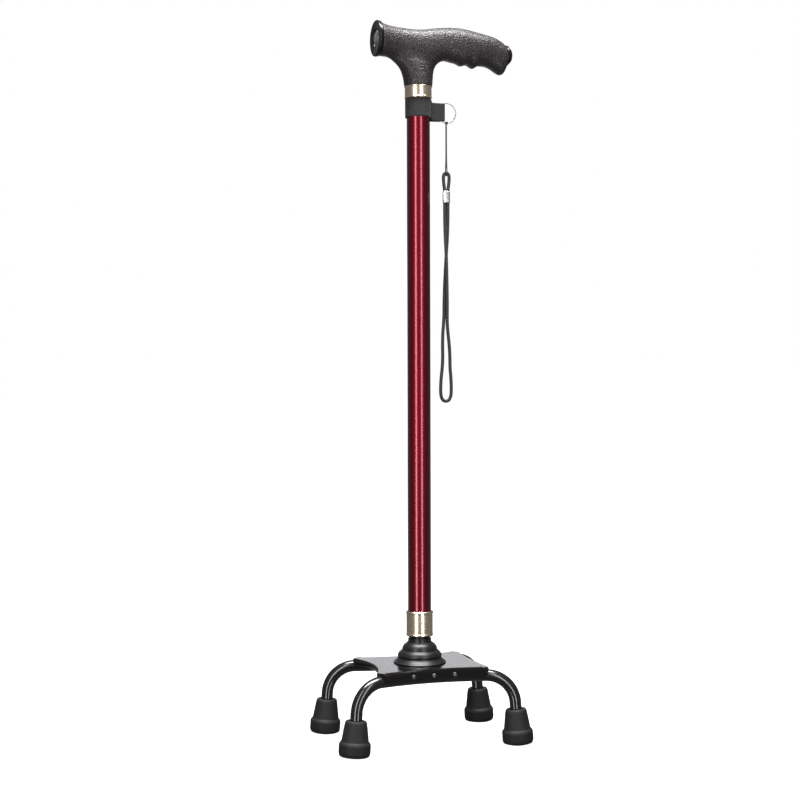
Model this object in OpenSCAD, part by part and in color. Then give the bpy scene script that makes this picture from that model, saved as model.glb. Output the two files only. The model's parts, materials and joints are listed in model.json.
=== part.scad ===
// Quad walking cane: a height-adjustable cane with a torch in its T-handle, on a base with four feet.
// Frame: origin on the floor under the shaft's axis, +Z up. The torch shines along -X, the grip's
// rear end is at +X, and the adjusting holes are on the +Y side. The cane is at its lowest setting.

/* [Base] */
// Diameter of the two bent leg tubes
leg_d = 12.7; // [12:0.1:13]
// Wall of the leg tubes
leg_wall = 1.5; // [1:0.1:2.5]
// Height of the leg tubes' centre line under the plate
leg_z = 72.4; // [70:0.2:76]
// Distance between the two leg tubes at the middle of the plate
leg_gap = 80; // [78:1:84]
// Radius of the arc that each leg tube follows in plan
leg_plan_r = 210; // [200:5:240]
// Distance between the bends of one leg tube
leg_run = 117; // [112:1:118]
// Radius of the bends, on the tube's centre line
leg_bend_r = 31; // [28:1:34]
// Outward lean of the legs, in degrees
leg_splay = 4; // [2:0.5:6]
// Length of the plate, front to rear
plate_l = 124; // [122:1:128]
// Sheet thickness of the plate
plate_t = 2.5; // [2:0.1:2.6]
// Depth of the hollow in the plate's front edge
front_scallop = 10; // [6:1:11]
// Depth of the hollow in the plate's rear edge
rear_scallop = 2.5; // [1.5:0.5:6]

/* [Rubber tips] */
// Diameter of a tip's foot ring
tip_d = 33.2; // [30:0.2:34]
// Diameter of a tip at its top
tip_top_d = 22.6; // [20:0.2:24]
// Height of a tip
tip_h = 36.5; // [34:0.5:38]
// Height of the foot ring
tip_ring_h = 14; // [10:0.5:16]

/* [Shaft] */
// Outer diameter of the shaft
shaft_d = 25; // [25:0.1:25.1]
// Wall of the shaft
shaft_wall = 1.5; // [1.4:0.05:1.5]
// Height of the shaft's top end, inside the handle
shaft_top = 729; // [722:1:732]
// Diameter of the inner tube
inner_d = 20.6; // [20.4:0.1:20.6]
// Wall of the inner tube
inner_wall = 1.2; // [1:0.1:1.4]
// Distance between two adjusting holes
hole_pitch = 25; // [20:1:25]
// Number of adjusting holes
hole_count = 7; // [3:1:7]
// Diameter of the snap button
button_d = 7; // [6:0.5:7.5]
// Height of the snap button
button_z = 330; // [325:1:340]

/* [Lock collar] */
// Outer diameter of the lock collar
collar_d = 29.5; // [29.5:0.1:31]
// Height of the lock collar
collar_h = 27.3; // [26:0.1:28]
// Height of the collar's lower edge above the floor
collar_z = 110; // [110:0.2:111]

/* [Handle] */
// Height of the neck's lower edge
neck_z = 703.5; // [702:0.5:706]
// Diameter of the neck's lower edge
neck_d = 30.6; // [29.4:0.2:31]
// Height of the torch's axis
torch_z = 751.9; // [751.6:0.1:752.4]
// Outer diameter of the torch bezel
bezel_d = 38.6; // [37:0.2:39]
// Height of the light switch's axis
tail_z = 742.6; // [742:0.1:743]
// Diameter of the light switch's surround
tail_d = 22.4; // [22:0.2:23]

/* [Wrist strap] */
// Outer diameter of the split ring
ring_d = 22.4; // [22:0.1:22.6]
// Diameter of the split ring's wire
ring_wire = 1.2; // [1:0.1:1.2]
// Diameter of the wrist cord
cord_d = 3.6; // [3.2:0.1:3.6]
// Diameter of the thin tether between the ring and the wrist cord
tether_d = 1.2; // [1:0.1:1.2]

/* [Hidden] */
$fn = 64;

// Clearances: a running fit, and a joint between fixed pieces
run = 0.05;
seat = 0.05;
// Overshoot of a cutting shape past the face it cuts
cut = 1;

// Base
leg_r = leg_d / 2;
leg_y = leg_gap / 2;
leg_turn = asin(leg_run / 2 / leg_plan_r);
leg_arc_y = leg_y + leg_plan_r;
bend_sweep = 90 - leg_splay;
bend_drop = leg_bend_r * (1 - cos(bend_sweep));
leg_below_bend = (leg_z - bend_drop) / cos(leg_splay);
leg_reach = leg_bend_r * sin(bend_sweep) + leg_below_bend * sin(leg_splay);
leg_steps = 8;
leg_sides = 24;
plate_z = leg_z + leg_r + seat;
plate_top = plate_z + plate_t;
fold_r = leg_r + seat + plate_t;
flange_low = 71.5;
plate_lap = 1.5;
plate_half_w = 48;
plate_corner_r = 7;
front_half = 42;
front_r = arc_radius(front_half, front_scallop);
rear_half = 44;
rear_r = arc_radius(rear_half, rear_scallop);
lip_h = 6;
lip_half = 37;
lip_inset = 0.2;
flange_turn = 15;
rivet_tilt = 20;
rivet_turn = 6.5;
rivet_r = 1.4;
rivet_h = 1.2;
bolt_r = 4;

// Rubber tips
tip_tube_s = 9;
tip_washer_t = 1.5;
tip_tread = 1.2;

// Post
socket_t = 2.5;
post_z = plate_top + socket_t;
socket_top = 98;
inner_r = inner_d / 2;
inner_bore = inner_r - inner_wall;
inner_top = 400;
boot_top = 108;

// Shaft
shaft_r = shaft_d / 2;
shaft_bore = shaft_r - shaft_wall;
shaft_low = 114;
hole_r = button_d / 2 + 0.1;
button_r = button_d / 2;
button_out = 14.3;
flange_out = 7.6;
leaf_t = 0.6;
leaf_w = 5.6;
leaf_fold_z = button_z - 34;

// Lock collar
collar_r = collar_d / 2;
thread_r = 13.6;
lip_t = 2;
bushing_top = 150;

// Handle
torch_x = -49;
handle_front = -44;
handle_rear = 100;
head_back = -26;
head_outline = [[14.2, 0], [14.2, 4.5], [11.3, head_back - handle_front]];
barrel_end = 66;
barrel_r = 7.2;
cell_r = 5.25;
cell_l = 44.5;
cell_x = -24.2;
switch_x = 82;
switch_r = 9;
tail_bore = 9.2;
spigot_r = 13.15;
spigot_l = 4;
board_r = 11;
screw_z = 718;
screw_r = 1.5;
grip_sides = 24;
grip_step = 3.5;
grip_top = [
    [-45, 770.3], [-42.5, 768.9], [-40, 767.7], [-36, 766.6], [-30, 765.6], [-24, 765],
    [-8, 764], [4, 764.4], [16, 766.3], [40, 768.5], [50, 768.1], [62, 766.2], [73, 764.1],
    [84, 761.9], [93, 758.5], [97, 756], [100, 752.8]
];
grip_bottom = [
    [-45, 733.8], [-36, 733.4], [-20, 731], [18, 731], [31, 732.8], [40, 729.6], [48, 727.4],
    [54, 728.2], [61.5, 726], [69, 727.6], [76, 729.6], [84, 727.2], [94, 721.4], [98.5, 725],
    [100, 729]
];
grip_width = [[-45, 18.4], [-36, 16.4], [-20, 14.6], [10, 15], [45, 16.4], [80, 14.6], [100, 11.9]];
neck_front = [[neck_z, -neck_d / 2], [711, -16.4], [720, -19.4], [726, -24], [731, -31], [736, -38]];
neck_rear = [[neck_z, neck_d / 2], [711, 15.9], [721, 17.2], [728, 21], [732, 27], [736, 31]];
neck_width = [[neck_z, neck_d / 2], [716, 14.6], [726, 13.6], [731, 11], [736, 9]];

// Wrist strap
band_low = 669.5;
band_top = 690;
band_r = 14.3;
tab_low = 666.7;
tab_top = 685.7;
ring_x = 32.2;
ring_z = 676.2;
ring_r = (ring_d - ring_wire) / 2;
knot_z = ring_z - ring_r;
strap_x = 31.9;
crimp_low = 579.5;
crimp_top = 591.5;
tether_half = [
    [0, 0.7, 663.8], [0, 0.7, 655], [0, 0.7, 645], [0, 0.8, 635], [0, 1.1, 625], [0, 1.9, 617.5],
    [0, 2.5, 613.5], [0, 2.6, 611.2], [0, 2, 609.6], [0, 1.1, 608.9]
];
eye_half = [
    [1.85, 0, 585.5], [1.85, 0, 592], [2.6, 0, 598], [3.2, 0, 604], [3.1, 0, 608.2], [2, 0, 610.6]
];
wrist_route = [
    [1.85, 0, 583], [1.85, 0, 572], [1.75, 0.3, 558], [1.4, 1.1, 541], [0.5, 1.8, 524],
    [-0.5, 2, 506], [-1.6, 1.8, 488], [-2.3, 1.4, 470], [-2.6, 1.2, 457], [-3.4, 0.7, 447],
    [-4.3, 0.2, 437], [-4.7, 0, 424], [-4.6, 0, 411], [-5.2, 0, 400], [-6.4, 0, 389], [-7, 0, 378],
    [-6.6, 0, 370], [-4.5, 0, 365.2], [-1, 0, 363.8], [2.5, 0, 365.2], [4.7, 0, 370],
    [5.2, 0, 378], [4.8, 0, 389], [3.9, 0, 400], [3.7, 0, 411], [3, 0, 424], [1.6, -0.2, 437],
    [0.5, -0.8, 447], [0.2, -1.4, 457], [0.2, -1.6, 470], [-0.1, -1.8, 488], [-0.5, -2, 506],
    [-1, -1.8, 524], [-1.6, -1.1, 541], [-1.85, -0.3, 558], [-1.85, 0, 572], [-1.85, 0, 583]
];

// Radius of an arc from half its chord and its depth
function arc_radius(half, depth) = (half ^ 2 + depth ^ 2) / (2 * depth);

// A smooth curve through points [x, value]: cubic pieces with central slopes
function piece(pts, x, i = 0) = i >= len(pts) - 2 || x < pts[i + 1][0] ? i : piece(pts, x, i + 1);
function slope(pts, i) =
    let(a = max(i - 1, 0), b = min(i + 1, len(pts) - 1)) (pts[b][1] - pts[a][1]) / (pts[b][0] - pts[a][0]);
function curve(pts, x) =
    let(i = piece(pts, x), h = pts[i + 1][0] - pts[i][0], t = (x - pts[i][0]) / h)
    pts[i][1] * (1 + 2 * t) * (1 - t) ^ 2 + slope(pts, i) * h * t * (1 - t) ^ 2
    + pts[i + 1][1] * t ^ 2 * (3 - 2 * t) - slope(pts, i + 1) * h * t ^ 2 * (1 - t);

// A smooth route through 3-D points, with extra points between them
function unit(v) = v / norm(v);
function at(pts, i) = pts[max(0, min(len(pts) - 1, i))];
function between(pts, i, t) =
    let(a = at(pts, i - 1), b = at(pts, i), c = at(pts, i + 1), d = at(pts, i + 2))
    0.5 * (2 * b + (c - a) * t + (2 * a - 5 * b + 4 * c - d) * t ^ 2 + (3 * b - a - 3 * c + d) * t ^ 3);
function route(pts, steps) = [
    for (i = [0 : len(pts) - 2]) for (s = [0 : steps - 1]) between(pts, i, s / steps),
    pts[len(pts) - 1]
];
function reversed(pts) = [for (i = [len(pts) - 1 : -1 : 0]) pts[i]];
function mirrored(pts, m) = [for (p = reversed(pts)) [p[0] * m[0], p[1] * m[1], p[2]]];

// A closed solid through rings of points, all with the same number of sides
function band(n, a, b) = [
    for (j = [0 : n - 1]) let(k = (j + 1) % n)
        each [[a * n + j, b * n + j, b * n + k], [a * n + j, b * n + k, a * n + k]]
];
module skin(rings) {
    n = len(rings[0]);
    last = len(rings) - 1;
    polyhedron(
        points = [for (ring = rings) each ring],
        faces = [
            [for (j = [0 : n - 1]) j],
            for (i = [0 : last - 1]) each band(n, i, i + 1),
            [for (j = [n - 1 : -1 : 0]) last * n + j]
        ],
        convexity = 6
    );
}

// The same for a hollow piece: its rings run along the outside and come back along the inside
module hollow_skin(outside, inside) {
    rings = concat(outside, reversed(inside));
    n = len(rings[0]);
    polyhedron(
        points = [for (ring = rings) each ring],
        faces = [for (i = [0 : len(rings) - 1]) each band(n, i, (i + 1) % len(rings))],
        convexity = 6
    );
}

// Rings of radius r square to a path; side is a direction that the path never follows
function rings_along(path, r, sides, side) = [
    for (i = [0 : len(path) - 1])
        let(
            along = unit(at(path, i + 1) - at(path, i - 1)),
            u = unit(cross(side, along)),
            v = cross(along, u)
        )
        [for (j = [0 : sides - 1]) path[i] + r * (cos(360 * j / sides) * u + sin(360 * j / sides) * v)]
];

// A round bar of radius r along a path
module swept(path, r, sides, side) {
    skin(rings_along(path, r, sides, side));
}

// A plain ring about Z
module ring(outer, inner, h) {
    difference() {
        cylinder(r = outer, h = h);
        translate([0, 0, -cut]) cylinder(r = inner, h = h + 2 * cut);
    }
}

// Places children at the mirrored ends and sides of the base: sx is +1 at the rear, sy is +1 at the right
module corner(sx, sy) {
    mirror([sx < 0 ? 1 : 0, 0, 0]) mirror([0, sy > 0 ? 1 : 0, 0]) children();
}

// Turns children's +Z to +X, for pieces about the torch's and the switch's axes
module along_x(x, z) {
    translate([x, 0, z]) rotate([0, 90, 0]) children();
}

// ---- Base ----

// Puts the rear left leg's own axis on Z, with z = 0 where it meets the floor
module on_leg() {
    translate([leg_run / 2, -leg_arc_y + leg_plan_r * cos(leg_turn), 0])
        rotate([0, 0, -leg_turn])
            translate([leg_reach, 0, 0])
                rotate([0, -leg_splay, 0]) children();
}

// Centre line of the rear half of the left leg tube, from the plate's middle to the leg's end
function leg_half() = concat(
    [for (i = [0 : leg_steps]) let(a = leg_turn * i / leg_steps)
        [leg_plan_r * sin(a), leg_plan_r * cos(a) - leg_arc_y, leg_z]],
    [for (i = [1 : leg_steps]) let(a = bend_sweep * i / leg_steps)
        leg_point(leg_bend_r * sin(a), leg_z - leg_bend_r * (1 - cos(a)))],
    [leg_point(leg_reach - tip_tube_s * sin(leg_splay), tip_tube_s * cos(leg_splay))]
);
function leg_point(out, z) = [
    leg_plan_r * sin(leg_turn) + out * cos(leg_turn),
    leg_plan_r * cos(leg_turn) - leg_arc_y - out * sin(leg_turn),
    z
];

// Places children on the outer face of the left fold, +Z pointing at the tube's centre line
module at_rivets() {
    for (a = [-rivet_turn, 0, rivet_turn])
        translate([0, -leg_arc_y, leg_z])
            rotate([0, 0, a])
                translate([0, leg_plan_r, 0])
                    rotate([-rivet_tilt, 0, 0])
                        translate([0, -fold_r, 0])
                            rotate([-90, 0, 0]) children();
}

module leg_tube() {
    half = leg_half();
    path = concat([for (i = [len(half) - 1 : -1 : 1]) [-half[i][0], half[i][1], half[i][2]]], half);
    difference() {
        hollow_skin(
            rings_along(path, leg_r, leg_sides, [0, 1, 0]),
            rings_along(path, leg_r - leg_wall, leg_sides, [0, 1, 0])
        );
        at_rivets() cylinder(r = rivet_r + seat, h = leg_r + plate_t);
    }
}

module left_leg_tube() {
    color("#101012") leg_tube();
}

module right_leg_tube() {
    color("#101012") mirror([0, 1, 0]) leg_tube();
}

// Outline of the plate's flat top: rounded corners, hollow edges
module plate_outline() {
    half_l = plate_l / 2;
    in_l = half_l - plate_corner_r;
    in_w = plate_half_w - plate_corner_r;
    difference() {
        union() {
            square([2 * half_l, 2 * in_w], center = true);
            square([2 * in_l, 2 * plate_half_w], center = true);
            for (x = [-in_l, in_l], y = [-in_w, in_w]) translate([x, y]) circle(plate_corner_r);
        }
        translate([-half_l + front_scallop - front_r, 0]) circle(front_r, $fn = 160);
        translate([half_l - rear_scallop + rear_r, 0]) circle(rear_r, $fn = 240);
        for (y = [-leg_arc_y, leg_arc_y]) translate([0, y]) circle(leg_plan_r, $fn = 200);
        circle(bolt_r + 0.2);
    }
}

// Cross-section of the flange that wraps round a leg tube, with a lap into the flat sheet
module flange_section() {
    translate([leg_plan_r - fold_r, flange_low]) square([plate_t, leg_z - flange_low]);
    translate([leg_plan_r, plate_z]) square([plate_lap, plate_t]);
    translate([leg_plan_r, leg_z]) intersection() {
        difference() {
            circle(fold_r);
            circle(fold_r - plate_t);
        }
        translate([-fold_r, 0]) square(fold_r);
    }
}

module flange() {
    difference() {
        translate([0, -leg_arc_y, 0])
            rotate([0, 0, 90 - flange_turn])
                rotate_extrude(angle = 2 * flange_turn) flange_section();
        at_rivets() translate([0, 0, -cut]) cylinder(r = rivet_r + seat, h = plate_t + 2 * cut);
    }
}

// Turned-down lip along a hollow edge of radius r, its middle towards +X; its top is inside the sheet
module lip(r) {
    span = asin(lip_half / r);
    translate([0, 0, plate_top - lip_h])
        rotate([0, 0, -span])
            rotate_extrude(angle = 2 * span)
                translate([r + lip_inset, 0]) square([plate_t - 2 * lip_inset, lip_h - plate_t / 2]);
}

module base_plate() {
    color("#16161a") {
        translate([0, 0, plate_z]) linear_extrude(plate_t) plate_outline();
        flange();
        mirror([0, 1, 0]) flange();
        translate([-plate_l / 2 + front_scallop - front_r, 0, 0]) lip(front_r);
        translate([plate_l / 2 - rear_scallop + rear_r, 0, 0]) rotate([0, 0, 180]) lip(rear_r);
    }
}

// Domed heads outside the fold, shanks through it into the tube
module plate_rivets() {
    color("#8c8c90")
        for (m = [0, 1]) mirror([0, m, 0]) at_rivets() {
            translate([0, 0, -rivet_h / 2]) cylinder(r = rivet_r, h = rivet_h / 2 + plate_t + 2.6);
            translate([0, 0, -rivet_h - seat]) rotate_extrude() rivet_head();
        }
}

module rivet_head() {
    head_r = 2.5;
    intersection() {
        translate([0, 3]) circle(3);
        square([head_r, rivet_h]);
    }
}

// ---- Rubber tips ----

// Half of a tip's section: foot ring, step, tapered body with a rounded rim
module tip_section() {
    ring_r = tip_d / 2;
    top_r = tip_top_d / 2;
    rim = 1.8;
    polygon([
        [0, -4], [ring_r, -4], [ring_r, tip_ring_h - 0.6], [ring_r - 0.6, tip_ring_h],
        [ring_r - 1.9, tip_ring_h + 0.6], [top_r, tip_h - rim], [top_r - rim * 0.3, tip_h - rim * 0.3],
        [top_r - rim, tip_h], [0, tip_h]
    ]);
}

module tip(sx, sy) {
    color("#2b2b2e") corner(sx, sy) difference() {
        on_leg() rotate_extrude() tip_section();
        on_leg() translate([0, 0, tip_tube_s - tip_washer_t]) cylinder(r = leg_r + seat, h = tip_h);
        translate([0, -2 * tip_d - leg_y, -20]) cube([plate_l, 3 * tip_d, 20]);
        on_leg() translate([0, 0, -cut]) ring(11.5, 9.5, tip_tread + cut);
    }
}

module tip_front_left() {
    tip(-1, -1);
}

module tip_front_right() {
    tip(-1, 1);
}

module tip_rear_left() {
    tip(1, -1);
}

module tip_rear_right() {
    tip(1, 1);
}

// Steel discs that keep the tube ends from cutting through the rubber
module tip_washers() {
    color("#9a9ca0")
        for (sx = [-1, 1], sy = [-1, 1])
            corner(sx, sy) on_leg() translate([0, 0, tip_tube_s - tip_washer_t])
                cylinder(r = leg_r - seat, h = tip_washer_t);
}

// ---- Post and inner tube ----

module post_socket() {
    color("#3a3a3e") translate([0, 0, plate_top]) {
        ring(19, bolt_r + 0.2, socket_t);
        translate([0, 0, socket_t]) ring(inner_r + seat + 2.2, inner_r + seat, socket_top - post_z);
    }
}

// Hexagon bolt, put in from under the plate
module post_bolt() {
    head_low = plate_z - 8.9;
    color("#b4b6ba") {
        translate([0, 0, head_low]) cylinder(r = 7.5, h = 5.3, $fn = 6);
        translate([0, 0, head_low + 5.3]) cylinder(r = bolt_r, h = 29);
    }
}

module post_washer() {
    color("#c2c4c8") translate([0, 0, plate_z - 1.6]) ring(12, bolt_r + 0.4, 1.6);
}

// Split spring washer
module lock_washer() {
    color("#8e9094") translate([0, 0, plate_z - 3.6]) difference() {
        ring(7, bolt_r + 0.2, 2);
        rotate([0, 25, 0]) translate([0, 0, -4]) cube([12, 0.8, 12]);
    }
}

// Threaded plug pressed into the foot of the inner tube
module post_plug() {
    color("#a8aab0") translate([0, 0, post_z]) ring(inner_bore - seat, bolt_r + seat, 24);
}

module inner_tube() {
    color("#1c1c1f") difference() {
        translate([0, 0, post_z]) ring(inner_r, inner_bore, inner_top - post_z);
        translate([0, 0, button_z]) rotate([-90, 0, 0]) cylinder(r = button_r + run, h = shaft_r);
    }
}

// Plastic end piece that guides the inner tube in the shaft
module inner_glide() {
    color("#222226") {
        translate([0, 0, inner_top - 10]) ring(inner_bore - seat, inner_bore - 2.5, 10);
        translate([0, 0, inner_top]) ring(shaft_bore - run, inner_bore - 2.5, 4);
    }
}

// Half of the boot's section: flared foot, rolled step, dome and neck
module boot_section() {
    wall = 2;
    polygon([
        [28.4 - wall - 0.6, plate_top], [28.4, plate_top], [28.3, 82.2], [25.7, 84.6], [23.5, 86.9],
        [23.8, 88], [23.7, 89.6], [22.9, 92], [21.6, 94], [19.6, 95], [19.1, 95.8], [18.7, 97.4],
        [17.7, 99.4], [15.9, 101.6], [14, 103.2], [13, 104.2], [12.6, 105.2], [12.5, boot_top],
        [inner_r + seat, boot_top], [inner_r + seat, 101.6], [14.7, 99.2], [16.2, 97], [16.9, 93.8],
        [19.6, 92.4], [20.9, 90], [21.1, 87], [23, 84.6]
    ]);
}

module boot() {
    color("#19191c") rotate_extrude() boot_section();
}

// V-shaped leaf: one arm behind the button, the other on the far wall of the inner tube
module button_spring() {
    back = flange_out - 1.4;
    far = -sqrt(inner_bore ^ 2 - (leaf_w / 2) ^ 2) + 0.1;
    color("#c8ccd2") translate([-leaf_w / 2, 0, 0]) rotate([90, 0, 90]) linear_extrude(leaf_w) {
        polygon([
            [back, button_z + 5], [back - leaf_t, button_z + 5], [back - leaf_t, button_z - 6],
            [-1, leaf_fold_z + 1.2], [far + leaf_t, button_z - 14], [far + leaf_t, button_z],
            [far, button_z], [far, button_z - 14.2], [-1.2, leaf_fold_z], [-0.8, leaf_fold_z],
            [back, button_z - 6.2]
        ]);
    }
}

// Domed pin with a flange that stops it at the tube's inner wall
module snap_button() {
    dome_r = 5;
    color("#d4d6da") translate([0, 0, button_z]) rotate([-90, 0, 0]) {
        translate([0, 0, flange_out - 1.3]) cylinder(r = 4.4, h = 1.2);
        intersection() {
            translate([0, 0, flange_out - 0.5]) cylinder(r = button_r, h = button_out - flange_out + 0.5);
            translate([0, 0, button_out - dome_r]) union() {
                sphere(dome_r);
                translate([0, 0, -8]) cylinder(r = dome_r, h = 8);
            }
        }
    }
}

// ---- Shaft and lock collar ----

module shaft_tube() {
    color("#6b0f22") difference() {
        translate([0, 0, shaft_low]) ring(shaft_r, shaft_bore, shaft_top - shaft_low);
        for (i = [0 : hole_count - 1])
            translate([0, 0, button_z - i * hole_pitch]) rotate([-90, 0, 0]) cylinder(r = hole_r, h = shaft_d);
        translate([0, 0, screw_z]) rotate([-90, 0, 0]) cylinder(r = screw_r + seat, h = shaft_d);
    }
}

// Externally threaded sleeve fixed on the shaft's lower end
module thread_sleeve() {
    color("#b99b6b") translate([0, 0, shaft_low]) ring(thread_r, shaft_r + seat, collar_z + collar_h - shaft_low - 0.5);
}

// Nylon bushing pressed into the shaft's lower end, running on the inner tube
module guide_bushing() {
    color("#e6e4dc") translate([0, 0, shaft_low]) ring(shaft_bore - seat, inner_r + run, bushing_top - shaft_low);
}

// Split nylon ring that the collar squeezes on the inner tube
module grip_ring() {
    color("#dcd8cc") difference() {
        translate([0, 0, collar_z + lip_t + 0.05]) ring(thread_r - 0.2, inner_r + run, 1.8);
        translate([0, -0.5, collar_z]) cube([collar_r, 1, 10]);
    }
}

module lock_collar() {
    lip = 1.4;
    top = collar_z + collar_h;
    in_r = thread_r + run;
    color("#cdb083") rotate_extrude() polygon([
        [inner_r + 0.4, collar_z], [collar_r - lip, collar_z], [collar_r - 0.4, collar_z + 0.5],
        [collar_r, collar_z + lip], [collar_r, collar_z + 2.6], [collar_r - 0.5, collar_z + 3.1],
        [collar_r - 0.5, top - 3.1], [collar_r, top - 2.6], [collar_r, top - lip],
        [collar_r - 0.3, top - 0.3], [collar_r - 0.8, top], [in_r, top], [in_r, collar_z + lip_t],
        [inner_r + 0.4, collar_z + lip_t]
    ]);
}

// ---- Handle ----

module handle_ring() {
    outer = 14.9;
    low = band_top;
    high = neck_z;
    color("#cdb083") rotate_extrude() polygon([
        [shaft_r + seat, low], [outer - 0.5, low], [outer, low + 0.5], [outer, low + 1.6],
        [outer - 0.4, low + 2], [outer - 0.4, high - 2], [outer, high - 1.6], [outer, high - 0.5],
        [outer - 0.5, high], [shaft_r + seat, high]
    ]);
}

// One ring of the grip's skin: a full oval between the top and bottom outlines
function power(v, e) = sign(v) * abs(v) ^ e;
function oval(j, e) = [power(cos(360 * j / grip_sides), e), power(sin(360 * j / grip_sides), e)];
function grip_ring_at(x) =
    let(high = curve(grip_top, x), low = curve(grip_bottom, x), w = curve(grip_width, x))
    [
        for (j = [0 : grip_sides - 1])
            let(o = oval(j, x < -36 ? 1 : 0.9)) [x, w * o[0], (high + low) / 2 + (high - low) / 2 * o[1]]
    ];
function neck_ring_at(z) =
    let(a = curve(neck_front, z), b = curve(neck_rear, z), w = curve(neck_width, z))
    [for (j = [0 : grip_sides - 1]) let(o = oval(j, 1)) [(a + b) / 2 + (b - a) / 2 * o[0], w * o[1], z]];

module handle_body() {
    count = ceil((handle_rear - handle_front) / grip_step);
    skin([for (i = [0 : count]) grip_ring_at(handle_front + (handle_rear - handle_front) * i / count)]);
    skin([for (z = [neck_z, 712, 719, 724, 728, 731, 733.5, 736]) neck_ring_at(z)]);
}

module handle() {
    color("#38363b") difference() {
        handle_body();
        translate([0, 0, neck_z - cut]) cylinder(r = shaft_r + seat, h = shaft_top + 0.5 - neck_z + cut);
        along_x(handle_front, torch_z) {
            translate([0, 0, -cut]) cylinder(r = head_outline[0][0] + seat, h = 2 * cut);
            head(seat, 0.5);
        }
        along_x(head_back, torch_z) cylinder(r = barrel_r + seat, h = barrel_end + 2 - head_back);
        along_x(switch_x, tail_z) cylinder(r = switch_r + seat, h = handle_rear - switch_x + cut);
        translate([barrel_end - 2, 0, torch_z]) rotate([0, 114, 0]) cylinder(r = 3, h = 26);
        translate([0, 20, screw_z]) rotate([90, 0, 0]) cylinder(r = screw_r + seat, h = 9);
        translate([0, 20, screw_z]) rotate([90, 0, 0]) cylinder(r = 3.3, h = 6.6);
    }
}

// Pan-head screw through the neck's far side into the shaft
module handle_screw() {
    color("#8c8e92") translate([0, 13.4, screw_z]) rotate([90, 0, 0]) {
        translate([0, 0, -2]) difference() {
            cylinder(r = 3, h = 2);
            for (a = [0, 90]) rotate([0, 0, a]) translate([-1.8, -0.4, -cut]) cube([3.6, 0.8, 1 + cut]);
        }
        cylinder(r = screw_r, h = 4);
    }
}

// ---- Torch ----

// The torch's tapered head about Z, widened by grow and lengthened by extra at its narrow end
module head(grow, extra) {
    end = head_outline[len(head_outline) - 1];
    rotate_extrude() polygon(concat(
        [[0, 0]],
        [for (p = head_outline) [p[0] + grow, p[1]]],
        [[end[0] + grow, end[1] + extra], [0, end[1] + extra]]
    ));
}

// Turned aluminium body: a wide head for the optics and a long tube for the cells
module torch_barrel() {
    color("#b8babf") difference() {
        union() {
            along_x(handle_front, torch_z) head(0, 0);
            along_x(head_back - 1, torch_z) cylinder(r = barrel_r, h = barrel_end - head_back + 1);
        }
        along_x(handle_front - cut, torch_z) cylinder(r = spigot_r + seat, h = spigot_l + 0.1 + cut);
        along_x(handle_front, torch_z) cylinder(r = board_r + 0.1, h = 14.5);
        along_x(handle_front, torch_z) cylinder(r = cell_r + 0.45, h = barrel_end - handle_front - 1);
        along_x(barrel_end - 2, torch_z) cylinder(r = 2, h = 4);
    }
}

// Screw-in bezel: a rounded rim, a dished face and a spigot
module torch_bezel() {
    r = bezel_d / 2;
    color("#141416") along_x(torch_x, torch_z) rotate_extrude() polygon([
        [9.6, 1.6], [11.4, 0.9], [14.6, 0.5], [r - 2.1, 0], [r - 0.9, 0.2], [r - 0.2, 0.9], [r, 1.8], [r, 4.4],
        [r - 0.4, 5], [spigot_r, 5], [spigot_r, 5 + spigot_l], [11.6, 5 + spigot_l], [11.6, 4.8], [9.6, 4.8]
    ]);
}

// Rubber ring between the lens and the bezel
module torch_seal() {
    color("#202022") along_x(torch_x + 4.85, torch_z) ring(11.5, 9.6, 0.8);
}

// Slightly domed clear lens
module torch_lens() {
    color([0.85, 0.9, 0.95, 0.4]) along_x(torch_x + 5.7, torch_z) {
        cylinder(r = 11.5, h = 1.2);
        intersection() {
            translate([0, 0, 12.6]) sphere(15.6);
            translate([0, 0, -4.2]) cylinder(r = 9.3, h = 4.6);
        }
    }
}

// Parabolic cup behind the lens
module reflector() {
    depth = 9;
    mouth = 10.6;
    hole = 2.8;
    wall = 0.8;
    steps = 8;
    inside = [
        for (i = [0 : steps])
            let(r = mouth + (hole - mouth) * i / steps) [r, depth * (1 - (r ^ 2 - hole ^ 2) / (mouth ^ 2 - hole ^ 2))]
    ];
    outside = [for (p = reversed(inside)) [p[0] + wall, p[1] + (p[1] > 0.1 ? wall : 0)]];
    color("#d6d8dc") along_x(torch_x + 6.95, torch_z) rotate_extrude() polygon(concat(inside, outside));
}

module led_board() {
    color("#2f6b3c") along_x(-31.4, torch_z) cylinder(r = board_r, h = 1.6);
}

// Five-millimetre LED: flanged foot and domed body
module led() {
    color("#f2f0d8") translate([-31.4, 0, torch_z]) rotate([0, -90, 0]) {
        cylinder(r = 2.7, h = 0.8);
        cylinder(r = 2.4, h = 4.6);
        translate([0, 0, 4.6]) sphere(2.4);
    }
}

// Conical contact spring between the board and the first cell
module contact_spring() {
    turns = 3;
    per_turn = 12;
    length = 5.6;
    path = [
        for (i = [0 : turns * per_turn])
            let(a = 360 * i / per_turn, f = i / (turns * per_turn))
            [length * f, (4.6 - 2 * f) * cos(a), (4.6 - 2 * f) * sin(a)]
    ];
    color("#d8c070") translate([-29.2, 0, torch_z]) swept(path, 0.3, 6, [1, 0, 0]);
}

// Two AAA cells in line, positive ends forward
module batteries() {
    color("#b08d3c")
        for (i = [0, 1]) along_x(cell_x + i * (cell_l + 0.1), torch_z) {
            cylinder(r = 1.9, h = 1.2);
            translate([0, 0, 1.1]) cylinder(r = cell_r, h = cell_l - 1.1);
        }
}

// Disc in the tube's far end that carries the wires' rear terminal
module rear_contact() {
    color("#c9a24b") along_x(barrel_end + 0.1, torch_z) {
        cylinder(r = 6.4, h = 0.8);
        cylinder(r = 1.5, h = 1.8);
    }
}

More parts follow.
